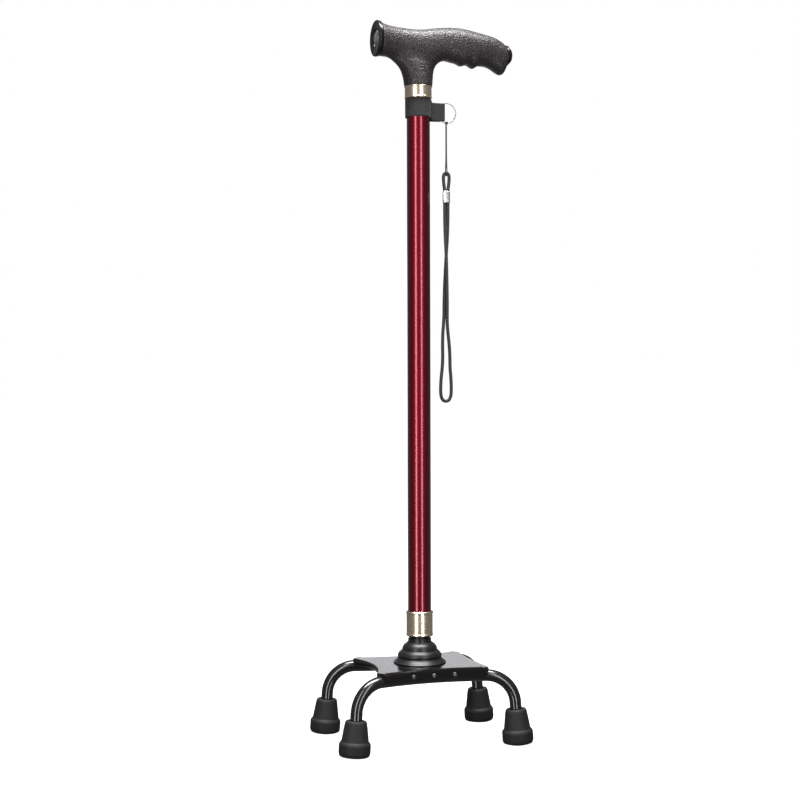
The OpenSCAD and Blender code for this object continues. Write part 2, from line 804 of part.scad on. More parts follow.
module switch_wires() {
    half = [[68.3, 0, 751.1], [70, 0, 750.2], [73, 0, 748.2], [77, 0, 745.4], [80, 0, 743.9], [82, 0, 743.4]];
    for (s = [-1, 1])
        color(s < 0 ? "#a02020" : "#202020")
            swept([for (p = route(half, 2)) [p[0], s * 1, p[2]]], 0.6, 8, [0, 1, 0]);
}

module switch_body() {
    color("#2a2a2e") difference() {
        along_x(switch_x + 0.1, tail_z) cylinder(r = switch_r, h = 15.4);
        along_x(switch_x + 8, tail_z) cylinder(r = 3 + run, h = 10);
    }
}

// Glossy surround of the light switch
module tail_cap() {
    r = tail_d / 2;
    color("#141416") along_x(handle_rear, tail_z) rotate_extrude() polygon([
        [tail_bore, 0.1], [r - 0.1, 0.1], [r, 1], [r, 2.4], [r - 0.5, 3.2], [r - 1.2, 3.6], [tail_bore, 3.6]
    ]);
}

// Domed push button on a stem
module switch_button() {
    dome = 4.6;
    r = tail_bore - run;
    color("#1b1b1e") along_x(handle_rear, tail_z) {
        translate([0, 0, -8]) cylinder(r = 3, h = 10);
        translate([0, 0, 1.6]) cylinder(r = r, h = 2);
        translate([0, 0, 3.6]) intersection() {
            translate([0, 0, dome - (r ^ 2 + dome ^ 2) / (2 * dome)]) sphere((r ^ 2 + dome ^ 2) / (2 * dome));
            cylinder(r = r, h = dome);
        }
    }
}

// ---- Wrist strap ----

// Hook-and-loop band round the shaft, with a folded tab that holds the ring
module strap_band() {
    color("#1a1a1c") {
        translate([0, 0, band_low]) ring(band_r, shaft_r + seat, band_top - band_low - 0.05);
        difference() {
            translate([0, 0, tab_low]) linear_extrude(tab_top - tab_low) difference() {
                polygon([
                    [10, -1.9], [18, -2.3], [23, -2.95], [28.4, -2.95], [30, -2.2], [30.5, -0.8],
                    [30.5, 0.8], [30, 2.2], [28.4, 2.95], [23, 2.95], [18, 2.3], [10, 1.9]
                ]);
                polygon([[19.6, 0], [21.4, -1.75], [28.2, -1.75], [29.3, -0.7], [29.3, 0.7], [28.2, 1.75], [21.4, 1.75]]);
            }
            translate([0, 0, tab_low - cut]) cylinder(r = shaft_r + seat, h = 30);
        }
    }
}

module split_ring() {
    color("#c8cace") translate([ring_x, 0, ring_z]) rotate([90, 0, 0])
        rotate_extrude() translate([ring_r, 0]) circle(ring_wire / 2);
}

// Bead-shaped hitch of the tether round the split ring
module tether_knot() {
    color("#161618") translate([ring_x - 1.4, 0, knot_z]) rotate([0, 90, 0]) ring(1.7, ring_wire / 2 + 0.3, 2.8);
}

module tether_cord() {
    path = concat(tether_half, [[0, 0, 608.6]], mirrored(tether_half, [1, -1]));
    color("#161618") translate([strap_x, 0, 0]) swept(path, tether_d / 2, 8, [1, 0, 0]);
}

// Small loop of the wrist cord above the crimp
module cord_eye() {
    path = concat(eye_half, [[0, 0, 611.4]], mirrored(eye_half, [-1, 1]));
    color("#161618") translate([strap_x, 0, 0]) swept(path, cord_d / 2, 10, [0, 1, 0]);
}

// Flattened aluminium sleeve
module cord_crimp() {
    gap = 1.85;
    in_r = cord_d / 2 + seat;
    color("#d8dadf") translate([strap_x, 0, crimp_low]) linear_extrude(crimp_top - crimp_low) difference() {
        flat_oval(gap, in_r + 0.45);
        flat_oval(gap, in_r);
    }
}

module flat_oval(gap, r) {
    square([2 * gap, 2 * r], center = true);
    for (x = [-gap, gap]) translate([x, 0]) circle(r);
}

module wrist_cord() {
    color("#161618") translate([strap_x, 0, 0]) swept(route(wrist_route, 2), cord_d / 2, 8, [0, 1, 0]);
}

base_plate();
left_leg_tube();
right_leg_tube();
plate_rivets();
tip_front_left();
tip_front_right();
tip_rear_left();
tip_rear_right();
tip_washers();
post_socket();
post_bolt();
post_washer();
lock_washer();
post_plug();
inner_tube();
inner_glide();
boot();
button_spring();
snap_button();
shaft_tube();
thread_sleeve();
guide_bushing();
grip_ring();
lock_collar();
handle_ring();
handle();
handle_screw();
torch_barrel();
torch_bezel();
torch_seal();
torch_lens();
reflector();
led_board();
led();
contact_spring();
batteries();
rear_contact();
switch_wires();
switch_body();
tail_cap();
switch_button();
strap_band();
split_ring();
tether_knot();
tether_cord();
cord_eye();
cord_crimp();
wrist_cord();
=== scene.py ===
"""A quad walking cane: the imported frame, dressed with detailed pieces and materials.

Sizes are in millimetres, in the frame's own axes (+Z up, the torch shines along -X), and mm() turns them
into metres. Where a piece stands for a CAD node, its place comes from that node's box.
"""

import sys

import json
import math

import bmesh
import bpy
import numpy as np
from mathutils import Matrix, Vector
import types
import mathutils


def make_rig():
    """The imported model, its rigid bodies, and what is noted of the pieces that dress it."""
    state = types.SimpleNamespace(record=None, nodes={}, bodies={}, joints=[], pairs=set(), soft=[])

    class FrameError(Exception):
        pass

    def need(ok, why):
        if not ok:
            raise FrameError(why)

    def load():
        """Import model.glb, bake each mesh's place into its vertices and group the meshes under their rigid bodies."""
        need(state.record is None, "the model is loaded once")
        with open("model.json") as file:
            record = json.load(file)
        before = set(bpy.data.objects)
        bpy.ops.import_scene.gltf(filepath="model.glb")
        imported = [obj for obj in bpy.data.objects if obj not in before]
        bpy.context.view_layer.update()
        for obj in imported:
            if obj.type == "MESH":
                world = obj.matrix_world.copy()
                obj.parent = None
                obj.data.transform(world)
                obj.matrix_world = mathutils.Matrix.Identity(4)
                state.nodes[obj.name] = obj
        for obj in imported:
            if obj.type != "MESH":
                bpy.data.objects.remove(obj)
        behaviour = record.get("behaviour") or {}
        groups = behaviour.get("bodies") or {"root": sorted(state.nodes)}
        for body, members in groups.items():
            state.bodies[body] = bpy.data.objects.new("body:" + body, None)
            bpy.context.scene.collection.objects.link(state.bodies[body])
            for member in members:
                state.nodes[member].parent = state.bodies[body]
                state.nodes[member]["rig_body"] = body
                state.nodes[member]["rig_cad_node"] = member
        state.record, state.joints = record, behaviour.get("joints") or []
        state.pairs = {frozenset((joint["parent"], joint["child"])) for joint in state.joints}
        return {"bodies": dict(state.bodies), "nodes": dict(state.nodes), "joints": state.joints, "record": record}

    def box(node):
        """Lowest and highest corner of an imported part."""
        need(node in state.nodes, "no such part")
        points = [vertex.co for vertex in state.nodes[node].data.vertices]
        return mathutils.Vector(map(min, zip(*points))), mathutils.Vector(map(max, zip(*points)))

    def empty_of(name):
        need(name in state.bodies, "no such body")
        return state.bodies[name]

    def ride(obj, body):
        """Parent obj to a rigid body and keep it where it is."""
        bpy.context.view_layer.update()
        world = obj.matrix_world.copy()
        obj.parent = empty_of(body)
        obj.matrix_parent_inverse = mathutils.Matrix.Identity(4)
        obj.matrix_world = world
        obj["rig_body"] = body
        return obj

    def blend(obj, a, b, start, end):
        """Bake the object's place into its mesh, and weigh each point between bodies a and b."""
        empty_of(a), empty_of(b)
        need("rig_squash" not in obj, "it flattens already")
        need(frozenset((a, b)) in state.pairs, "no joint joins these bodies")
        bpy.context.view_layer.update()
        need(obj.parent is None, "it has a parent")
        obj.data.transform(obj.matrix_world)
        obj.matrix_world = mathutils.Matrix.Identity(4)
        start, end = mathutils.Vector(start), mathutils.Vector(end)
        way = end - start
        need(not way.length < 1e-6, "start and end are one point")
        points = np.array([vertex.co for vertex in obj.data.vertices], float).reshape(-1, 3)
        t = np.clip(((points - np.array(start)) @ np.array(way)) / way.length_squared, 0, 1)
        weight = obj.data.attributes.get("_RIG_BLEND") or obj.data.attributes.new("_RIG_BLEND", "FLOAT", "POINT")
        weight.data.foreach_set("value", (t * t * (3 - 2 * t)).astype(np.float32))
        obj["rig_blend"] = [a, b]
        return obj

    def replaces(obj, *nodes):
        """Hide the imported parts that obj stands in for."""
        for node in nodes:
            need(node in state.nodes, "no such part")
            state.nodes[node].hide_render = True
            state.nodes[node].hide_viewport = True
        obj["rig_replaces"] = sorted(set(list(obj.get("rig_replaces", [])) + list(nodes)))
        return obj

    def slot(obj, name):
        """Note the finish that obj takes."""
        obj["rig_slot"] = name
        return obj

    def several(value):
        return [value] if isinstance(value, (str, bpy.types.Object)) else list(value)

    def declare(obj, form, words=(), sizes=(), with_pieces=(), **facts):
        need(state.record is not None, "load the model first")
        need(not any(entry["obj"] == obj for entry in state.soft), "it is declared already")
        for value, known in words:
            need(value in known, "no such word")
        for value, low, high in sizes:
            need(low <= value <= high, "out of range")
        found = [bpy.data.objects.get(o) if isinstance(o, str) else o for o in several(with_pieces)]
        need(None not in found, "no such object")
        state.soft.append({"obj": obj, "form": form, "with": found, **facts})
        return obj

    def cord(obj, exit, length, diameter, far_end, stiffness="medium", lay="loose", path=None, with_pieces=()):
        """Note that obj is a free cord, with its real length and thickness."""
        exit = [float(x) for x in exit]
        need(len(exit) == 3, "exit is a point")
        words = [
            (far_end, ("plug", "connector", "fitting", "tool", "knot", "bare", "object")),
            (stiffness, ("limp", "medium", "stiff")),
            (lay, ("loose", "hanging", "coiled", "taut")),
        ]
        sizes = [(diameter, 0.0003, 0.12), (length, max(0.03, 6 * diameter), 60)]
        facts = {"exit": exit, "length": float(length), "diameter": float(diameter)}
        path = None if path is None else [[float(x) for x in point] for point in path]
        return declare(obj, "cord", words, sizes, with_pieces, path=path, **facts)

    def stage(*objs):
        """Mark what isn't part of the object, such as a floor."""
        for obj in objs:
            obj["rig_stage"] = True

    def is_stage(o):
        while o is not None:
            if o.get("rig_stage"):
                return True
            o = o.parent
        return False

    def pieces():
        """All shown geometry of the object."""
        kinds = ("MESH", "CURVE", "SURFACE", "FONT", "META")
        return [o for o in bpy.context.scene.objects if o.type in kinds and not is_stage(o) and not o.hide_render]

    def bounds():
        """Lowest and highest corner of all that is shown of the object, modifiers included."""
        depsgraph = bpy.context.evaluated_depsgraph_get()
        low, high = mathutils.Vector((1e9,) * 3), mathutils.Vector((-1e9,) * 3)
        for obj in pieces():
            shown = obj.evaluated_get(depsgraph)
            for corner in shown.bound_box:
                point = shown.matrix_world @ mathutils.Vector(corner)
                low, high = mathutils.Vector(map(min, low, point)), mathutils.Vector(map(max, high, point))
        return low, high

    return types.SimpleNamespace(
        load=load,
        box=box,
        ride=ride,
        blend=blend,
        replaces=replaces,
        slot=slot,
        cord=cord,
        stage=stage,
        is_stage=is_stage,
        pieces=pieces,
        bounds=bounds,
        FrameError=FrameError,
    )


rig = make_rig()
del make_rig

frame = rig.load()
cad_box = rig.bounds()

MM = 0.001
TAU = 2 * math.pi


def mm(*values):
    """Millimetres to metres, as a vector."""
    return Vector(values) * MM


def low(node):
    """A CAD node's lowest corner, in millimetres."""
    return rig.box(node)[0] / MM


def high(node):
    """A CAD node's highest corner, in millimetres."""
    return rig.box(node)[1] / MM


# ---- curves

def unit(vectors):
    return vectors / np.linalg.norm(vectors, axis=1)[:, None]


def distances(points):
    """How far along a route each of its points is."""
    return np.concatenate([[0], np.cumsum(np.linalg.norm(np.diff(points, axis=0), axis=1))])


def circle(sides):
    """Angles evenly round a circle."""
    return np.arange(sides) * TAU / sides


def curve(points, x):
    """A smooth curve through (x, value) pairs, at x (a number or an array)."""
    p = np.array(points, float)
    gap = np.diff(p, axis=0)
    slope = np.empty(len(p))
    slope[1:-1] = (p[2:, 1] - p[:-2, 1]) / (p[2:, 0] - p[:-2, 0])
    slope[0], slope[-1] = gap[0, 1] / gap[0, 0], gap[-1, 1] / gap[-1, 0]
    i = np.clip(np.searchsorted(p[:, 0], x, side="right") - 1, 0, len(p) - 2)
    h = gap[i, 0]
    t = (x - p[i, 0]) / h
    rise = p[i, 1] * (1 + 2 * t) * (1 - t) ** 2 + slope[i] * h * t * (1 - t) ** 2
    return rise + p[i + 1, 1] * t**2 * (3 - 2 * t) - slope[i + 1] * h * t**2 * (1 - t)


def route(points, steps):
    """A smooth route through points, with steps pieces between each two."""
    p = np.array(points, float)
    out = []
    for i in range(len(p) - 1):
        a, b, c, d = p[max(i - 1, 0)], p[i], p[i + 1], p[min(i + 2, len(p) - 1)]
        for t in np.arange(steps) / steps:
            bend = (2 * a - 5 * b + 4 * c - d) * t**2 + (3 * b - a - 3 * c + d) * t**3
            out.append(0.5 * (2 * b + (c - a) * t + bend))
    out.append(p[-1])
    return np.array(out)


def evenly(points, step):
    """The same route with points about step apart."""
    p = np.array(points, float)
    run = distances(p)
    at = np.linspace(0, run[-1], max(2, int(round(run[-1] / step)) + 1))
    return np.stack([np.interp(at, run, p[:, k]) for k in range(p.shape[1])], axis=1)


def rounded(points, steps=4):
    """An outline whose corners (x, y, radius) are rounded; a corner with no radius stays sharp."""
    out = []
    n = len(points)
    for i, corner in enumerate(points):
        here = np.array(corner[:2], float)
        if len(corner) == 2:
            out.append(here)
            continue
        arms = [np.array(points[k % n][:2], float) - here for k in (i - 1, i + 1)]
        a, b = (here + arm * min(0.5, corner[2] / np.linalg.norm(arm)) for arm in arms)
        for t in np.linspace(0, 1, steps + 1):
            out.append(a * (1 - t) ** 2 + 2 * here * t * (1 - t) + b * t**2)
    return np.array(out)


# ---- meshes

def link(name, data):
    """A new object in the scene."""
    obj = bpy.data.objects.new(name, data)
    bpy.context.scene.collection.objects.link(obj)
    return obj


def smooth(mesh, sharp):
    """Smooth shading, apart from edges that turn by more than sharp degrees."""
    mesh.shade_smooth()
    mesh.set_sharp_from_angle(angle=math.radians(sharp))


def add_mesh(name, points, faces, uv=None):
    """An object from points in millimetres. uv gives one pair for each point."""
    mesh = bpy.data.meshes.new(name)
    mesh.from_pydata((np.array(points, float) * MM).tolist(), [], faces)
    if uv is not None:
        layer = mesh.uv_layers.new(name="uv")
        index = np.zeros(len(mesh.loops), np.int32)
        mesh.loops.foreach_get("vertex_index", index)
        layer.data.foreach_set("uv", np.array(uv, np.float32)[index].ravel())
    smooth(mesh, 40)
    return link(name, mesh)


def clean(obj, sharp=40):
    """Joins points that coincide, as at a pole, and turns all faces outwards."""
    work = bmesh.new()
    work.from_mesh(obj.data)
    bmesh.ops.remove_doubles(work, verts=work.verts, dist=1e-6)
    bmesh.ops.recalc_face_normals(work, faces=work.faces)
    work.to_mesh(obj.data)
    work.free()
    smooth(obj.data, sharp)
    return obj


def grid(rows, columns, wrap_rows=False, caps=False):
    """Quads between the points of a grid of closed rows. caps closes the first and the last row."""
    faces = []
    for i in range(rows if wrap_rows else rows - 1):
        for j in range(columns):
            a, b = i * columns, ((i + 1) % rows) * columns
            k = (j + 1) % columns
            faces.append((a + j, a + k, b + k, b + j))
    if caps:
        last = rows * columns - 1
        faces += [tuple(range(columns)), tuple(range(last, last - columns, -1))]
    return faces


def lathe(name, outline, place=(0, 0, 0), along="Z", sides=96, closed=True):
    """An outline of (radius, height) turned about Z, or about X with its height along +X, and moved."""
    outline = np.array(outline, float)
    turn = circle(sides)
    points, uv = [], []
    for (r, h), run in zip(outline, distances(outline)):
        x, y, z = r * np.cos(turn), r * np.sin(turn), np.full(sides, h)
        ring = np.stack([x, y, z] if along == "Z" else [z, y, -x], axis=1)
        points.append(ring + np.array(place, float))
        uv.append(np.stack([np.abs(turn / TAU * 2 - 1), np.full(sides, run * MM)], axis=1))
    faces = grid(len(outline), sides, wrap_rows=closed)
    return clean(add_mesh(name, np.concatenate(points), faces, np.concatenate(uv)), 35)


def frames(path, side, closed):
    """Two directions square to a path at each point, which don't twist about it."""
    ahead = np.roll(path, -1, axis=0) - np.roll(path, 1, axis=0)
    if not closed:
        ahead[0], ahead[-1] = path[1] - path[0], path[-1] - path[-2]
    ahead = unit(ahead)
    u = np.cross(side, ahead[0])
    us, vs = [], []
    for t in ahead:
        u = u - t * (u @ t)
        u = u / np.linalg.norm(u)
        us.append(u)
        vs.append(np.cross(t, u))
    return np.array(us), np.array(vs)


def tube(name, path, radius, sides, side=(0, 1, 0), closed=False):
    """A round bar along a path in millimetres. side isn't along the path's start."""
    path = np.array(path, float)
    u, v = frames(path, np.array(side, float), closed)
    angle = circle(sides)[None, :, None]
    points = path[:, None] + radius * (np.cos(angle) * u[:, None] + np.sin(angle) * v[:, None])
    around = np.abs(np.arange(sides) / sides * 2 - 1)
    uv = np.stack([np.tile(around, len(path)), np.repeat(distances(path) * MM, sides)], axis=1)
    faces = grid(len(path), sides, wrap_rows=closed, caps=not closed)
    return clean(add_mesh(name, points.reshape(-1, 3), faces, uv), 60)


def modify(obj, kind, **settings):
    """Adds a modifier and applies it."""
    modifier = obj.modifiers.new(kind.lower(), kind)
    for key, value in settings.items():
        setattr(modifier, key, value)
    shown = obj.evaluated_get(bpy.context.evaluated_depsgraph_get())
    mesh = bpy.data.meshes.new_from_object(shown)
    obj.modifiers.clear()
    old = obj.data
    obj.data = mesh
    bpy.data.meshes.remove(old)


def cut(obj, cutter):
    """Takes a cutter away from a piece and removes the cutter."""
    modify(obj, "BOOLEAN", object=cutter, operation="DIFFERENCE", solver="EXACT")
    bpy.data.objects.remove(cutter)


def joined(name, parts):
    """One object from several, whose meshes already stand in place."""
    work = bmesh.new()
    for part in parts:
        work.from_mesh(part.data)
    mesh = bpy.data.meshes.new(name)
    work.to_mesh(mesh)
    work.free()
    for part in parts:
        bpy.data.meshes.remove(part.data)
    return link(name, mesh)


def dress(obj, body, slot, node):
    """Gives a piece its material, its body and the CAD node that it stands for."""
    obj.data.materials.clear()
    obj.data.materials.append(material(slot))
    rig.ride(obj, body)
    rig.slot(obj, slot)
    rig.replaces(obj, node)
    return obj


# ---- materials

def add(tree, kind, inputs=None, **settings):
    """A shader node; an input is a number, a colour or another node's output."""
    node = tree.nodes.new("ShaderNode" + kind)
    for key, value in settings.items():
        setattr(node, key, value)
    for key, value in (inputs or {}).items():
        if isinstance(value, bpy.types.NodeSocket):
            tree.links.new(value, node.inputs[key])
        else:
            node.inputs[key].default_value = value
    return node


def calc(tree, operation, a, b=0, c=0):
    return add(tree, "Math", {0: a, 1: b, 2: c}, operation=operation).outputs[0]


def spread(tree, value, low_value, high_value):
    """A 0 to 1 texture stretched to run from low_value to high_value."""
    inputs = {"Value": value, "To Min": low_value, "To Max": high_value}
    return add(tree, "MapRange", inputs).outputs["Result"]


def eased(tree, value, start, end, low_value=0, high_value=1):
    """Runs smoothly from low_value to high_value while value goes from start to end."""
    inputs = {"Value": value, "From Min": start, "From Max": end, "To Min": low_value, "To Max": high_value}
    return add(tree, "MapRange", inputs, interpolation_type="SMOOTHSTEP").outputs["Result"]


def place_in(tree):
    return add(tree, "TexCoord").outputs["Object"]


def u_and_v(tree):
    uv = add(tree, "SeparateXYZ", {0: add(tree, "TexCoord").outputs["UV"]})
    return uv.outputs[0], uv.outputs[1]


def stretched(tree, scale):
    """Object coordinates, scaled along each axis."""
    return add(tree, "Mapping", {"Vector": place_in(tree), "Scale": scale}).outputs["Vector"]


def noise(tree, scale, detail=3, vector=None, rough=0.5):
    inputs = {"Scale": scale, "Detail": detail, "Roughness": rough, "Vector": vector or place_in(tree)}
    return add(tree, "TexNoise", inputs).outputs["Fac"]


def cells(tree, scale, vector=None, feature="F1"):
    inputs = {"Scale": scale, "Vector": vector or place_in(tree)}
    return add(tree, "TexVoronoi", inputs, feature=feature).outputs["Distance"]


def mix(tree, share, a, b):
    """Two colours mixed; the second may be a texture."""
    b = b if isinstance(b, bpy.types.NodeSocket) else (*b, 1)
    return add(tree, "Mix", {0: share, 6: (*a, 1), 7: b}, data_type="RGBA").outputs[2]


def bump(tree, height, distance_mm, strength, under=None):
    inputs = {"Height": height, "Distance": distance_mm * MM, "Strength": strength}
    if under is not None:
        inputs["Normal"] = under
    return add(tree, "Bump", inputs).outputs["Normal"]


def surface(**uniform):
    """A new material and its node tree, with uniform values set on the shader's own sockets."""
    made = bpy.data.materials.new("surface")
    made.use_nodes = True
    shader = made.node_tree.nodes["Principled BSDF"]
    for key, value in uniform.items():
        shader.inputs[key.replace("_", " ").title().replace("Ior", "IOR")].default_value = value
    return made, made.node_tree


def feed(made, **linked):
    """Links textures to the shader's sockets."""
    tree = made.node_tree
    for key, value in linked.items():
        tree.links.new(value, tree.nodes["Principled BSDF"].inputs[key.replace("_", " ").title()])


def look(made, colour, rough, relief=None):
    """Links a mix of two colours, a spread of roughness and a bump, each given as its arguments."""
    tree = made.node_tree
    feed(made, base_color=mix(tree, *colour), roughness=spread(tree, *rough))
    if relief:
        feed(made, normal=bump(tree, *relief))
    return made


def coated_metal(dark, light, rough, coat=0.6):
    """Powder coat or paint: a faint, long-waved orange peel and a little dust."""
    made, tree = surface(coat_weight=coat, coat_roughness=0.14)
    return look(
        made, colour=(noise(tree, 60, 4), dark, light),
        rough=(noise(tree, 240), rough * 0.85, rough * 1.2), relief=(noise(tree, 320, 1), 0.0015, 0.3),
    )


def bare_metal(dark, light, rough, grain=(400, 400, 400)):
    """Plain or plated metal, brushed along the axis where grain is small."""
    made, tree = surface(metallic=1)
    lines = noise(tree, 1, 4, stretched(tree, grain))
    return look(
        made, colour=(lines, dark, light),
        rough=(lines, rough * 0.7, rough * 1.4), relief=(lines, 0.01, 0.3),
    )


def plastic(dark, light, rough, grain_mm, coat=0, gloss=0.5):
    """Moulded plastic or rubber with a fine grain."""
    made, tree = surface(coat_weight=coat, coat_roughness=0.05, specular_ior_level=gloss)
    fine = noise(tree, 1600)
    return look(
        made, colour=(noise(tree, 45, 5), dark, light),
        rough=(fine, rough * 0.85, rough * 1.15), relief=(fine, grain_mm, 0.5),
    )


def base_black():
    return coated_metal((0.003, 0.003, 0.0036), (0.006, 0.006, 0.007), 0.22, 0.36)


def rivet_steel():
    return coated_metal((0.006, 0.006, 0.007), (0.014, 0.014, 0.015), 0.32, 0.3)


def tip_rubber():
    made, tree = surface(specular_ior_level=0.3)
    fine = noise(tree, 2200)
    return look(
        made, colour=(noise(tree, 70, 6), (0.005, 0.005, 0.0055), (0.011, 0.0105, 0.0115)),
        rough=(fine, 0.52, 0.72), relief=(fine, 0.03, 0.6),
    )


def zinc_steel():
    return bare_metal((0.42, 0.43, 0.45), (0.66, 0.67, 0.68), 0.3)


def cast_fitting():
    return coated_metal((0.03, 0.03, 0.033), (0.05, 0.05, 0.055), 0.5)


def plain_aluminium():
    return bare_metal((0.6, 0.6, 0.62), (0.78, 0.78, 0.8), 0.3, (60, 900, 900))


def black_tube():
    made, tree = surface(metallic=0.85)
    lines = noise(tree, 1, 3, stretched(tree, (1500, 1500, 12)))
    scuffs = noise(tree, 1, 3, stretched(tree, (300, 300, 25)), 0.7)
    return look(
        made, colour=(scuffs, (0.012, 0.012, 0.013), (0.035, 0.034, 0.034)),
        rough=(lines, 0.22, 0.38), relief=(lines, 0.006, 0.4),
    )


def black_plastic():
    return plastic((0.015, 0.015, 0.016), (0.03, 0.03, 0.032), 0.5, 0.01)


def boot_black():
    return plastic((0.004, 0.004, 0.005), (0.008, 0.008, 0.009), 0.38, 0.004, 0.03, 0.35)


def spring_steel():
    return bare_metal((0.4, 0.41, 0.43), (0.6, 0.61, 0.63), 0.28)


def button_steel():
    return bare_metal((0.6, 0.6, 0.6), (0.78, 0.78, 0.78), 0.16)


def shaft_red():
    """Dyed anodised aluminium: drawn lines along the tube under a clear gloss."""
    made, tree = surface(metallic=1, coat_weight=0.7, coat_roughness=0.16, coat_ior=1.5)
    lines = noise(tree, 1, 3, stretched(tree, (900, 900, 5)))
    clouds = noise(tree, 1, 3, stretched(tree, (60, 60, 6)))
    return look(
        made, colour=(clouds, (0.15, 0.0022, 0.011), (0.185, 0.0034, 0.015)),
        rough=(lines, 0.3, 0.38), relief=(lines, 0.001, 0.3),
    )


def nylon():
    made, tree = surface(subsurface_weight=0.15)
    clouds = noise(tree, 90, 4)
    return look(
        made, colour=(clouds, (0.7, 0.68, 0.62), (0.8, 0.78, 0.73)),
        rough=(clouds, 0.38, 0.5), relief=(noise(tree, 1500, 2), 0.01, 0.4),
    )


def champagne_ring():
    """Satin champagne anodising, turned, with a pattern of small cuts engraved round the ring; the cuts are painted
    darker, as painted shade in them.
    """
    made, tree = surface(metallic=1)
    lines = noise(tree, 1, 3, stretched(tree, (40, 40, 2400)))
    cuts = eased(tree, cells(tree, 1, stretched(tree, (620, 620, 330))), 0.2, 0.4)
    # painted shade: the engraved cuts take the darker brown colour
    return look(
        made, colour=(cuts, (0.42, 0.325, 0.235), (0.8, 0.675, 0.52)),
        rough=(cuts, 0.42, 0.27), relief=(lines, 0.004, 0.3, bump(tree, cuts, 0.04, 0.25)),
    )


def grip_charcoal():
    """A soft charcoal moulding with a leather grain: pebbles of about two millimetres between creases, which are
    painted near black as painted shade.
    """
    made, tree = surface(sheen_weight=0.02, sheen_roughness=0.45, specular_ior_level=0.37)
    place = place_in(tree)
    wander = add(tree, "TexNoise", {"Vector": place, "Scale": 260, "Detail": 2.0}).outputs["Color"]
    sway = (0.0014, 0.0014, 0.0014)
    swayed = add(tree, "VectorMath", {0: wander, 1: sway, 2: place}, operation="MULTIPLY_ADD")
    bent = swayed.outputs["Vector"]
    pebble = eased(tree, cells(tree, 430, bent, "DISTANCE_TO_EDGE"), 0, 0.24)
    worn = mix(tree, noise(tree, 35, 5), (0.013, 0.0078, 0.0098), (0.0195, 0.0128, 0.0155))
    # painted shade: the creases between pebbles take the near-black colour; the pebbles take a random worn tone
    return look(
        made, colour=(pebble, (0.008, 0.007, 0.0075), worn),
        rough=(pebble, 0.51, 0.3), relief=(cells(tree, 1300, bent), 0.06, 0.4, bump(tree, pebble, 0.26, 0.7)),
    )


def gloss_black():
    return plastic((0.003, 0.003, 0.004), (0.006, 0.006, 0.007), 0.26, 0.004, 0.05, 0.18)


def seal_rubber():
    return plastic((0.012, 0.012, 0.012), (0.02, 0.02, 0.02), 0.7, 0.02)


def clear_lens():
    """Plastic lens whose colour paints the cup's mirrored flats behind it, enlarged, as mottled greys: a painted
    reflection.
    """
    made, tree = surface(alpha=0.85, specular_ior_level=0.6)
    # painted reflection: these cells paint the mirror cup's flats as light and dark greys on the lens, and also give
    # its bump
    flats = cells(tree, 420)
    return look(
        made, colour=(flats, (0.19, 0.19, 0.195), (0.006, 0.006, 0.007)),
        rough=(noise(tree, 500), 0.16, 0.3), relief=(flats, 0.25, 0.5),
    )


def mirror_cup():
    return bare_metal((0.34, 0.34, 0.35), (0.62, 0.62, 0.63), 0.36)


def circuit_board():
    return plastic((0.01, 0.1, 0.035), (0.02, 0.16, 0.06), 0.35, 0.01, 0.3)


def led_resin():
    made, tree = surface(transmission_weight=0.5, ior=1.5)
    clouds = noise(tree, 500)
    return look(made, colour=(clouds, (0.78, 0.72, 0.4), (0.95, 0.92, 0.75)), rough=(clouds, 0.08, 0.2))


def contact_brass():
    return bare_metal((0.55, 0.4, 0.16), (0.75, 0.58, 0.28), 0.28)


def cell_wrap():
    return coated_metal((0.2, 0.13, 0.04), (0.32, 0.22, 0.08), 0.3)


def wire_sleeve():
    return plastic((0.2, 0.01, 0.01), (0.35, 0.03, 0.03), 0.45, 0.01)


def strap_webbing():
    """Plain weave of nylon with the nap of a loop face."""
    made, tree = surface(sheen_weight=0.08, sheen_roughness=0.4)
    threads = 900
    u, v = (calc(tree, "SINE", calc(tree, "MULTIPLY", part, threads * TAU)) for part in u_and_v(tree))
    weave = calc(tree, "MULTIPLY_ADD", calc(tree, "MULTIPLY", u, v), 0.5, 0.5)
    nap = noise(tree, 1900, 4)
    return look(
        made, colour=(nap, (0.0055, 0.0052, 0.006), (0.014, 0.013, 0.015)),
        rough=(nap, 0.72, 0.92), relief=(calc(tree, "MULTIPLY_ADD", nap, 0.6, weave), 0.14, 0.6),
    )


def ring_steel():
    return bare_metal((0.2, 0.2, 0.21), (0.34, 0.34, 0.35), 0.24)


def cord_black():
    """Braided cord: strands that cross over each other along and round it, with painted shade in the grooves between
    them.
    """
    made, tree = surface(sheen_weight=0.08, sheen_roughness=0.35)
    strands, pitch = 2, 0.0032
    u, v = u_and_v(tree)
    round_it = calc(tree, "MULTIPLY", u, strands * TAU)
    down_it = calc(tree, "MULTIPLY", v, TAU / pitch)
    left, right = (calc(tree, "SINE", calc(tree, way, round_it, down_it)) for way in ("ADD", "SUBTRACT"))
    braid = spread(tree, calc(tree, "MAXIMUM", left, right), 0, 1)
    fibres = noise(tree, 2600)
    height = calc(tree, "MULTIPLY_ADD", fibres, 0.25, braid)
    # painted shade: the grooves between strands take the darker colour; the fibre noise is the cord's own tone
    return look(
        made, colour=(height, (0.004, 0.004, 0.0045), (0.017, 0.0165, 0.018)),
        rough=(fibres, 0.6, 0.85), relief=(height, 0.22, 0.7),
    )


def crimp_metal():
    return bare_metal((0.72, 0.73, 0.75), (0.88, 0.88, 0.9), 0.26, (900, 900, 60))


MATERIALS = {}


def material(slot):
    """The material of a slot of the record, made once by the function of that name."""
    if slot not in MATERIALS:
        MATERIALS[slot] = globals()[slot]()
        MATERIALS[slot].name = slot
    return MATERIALS[slot]


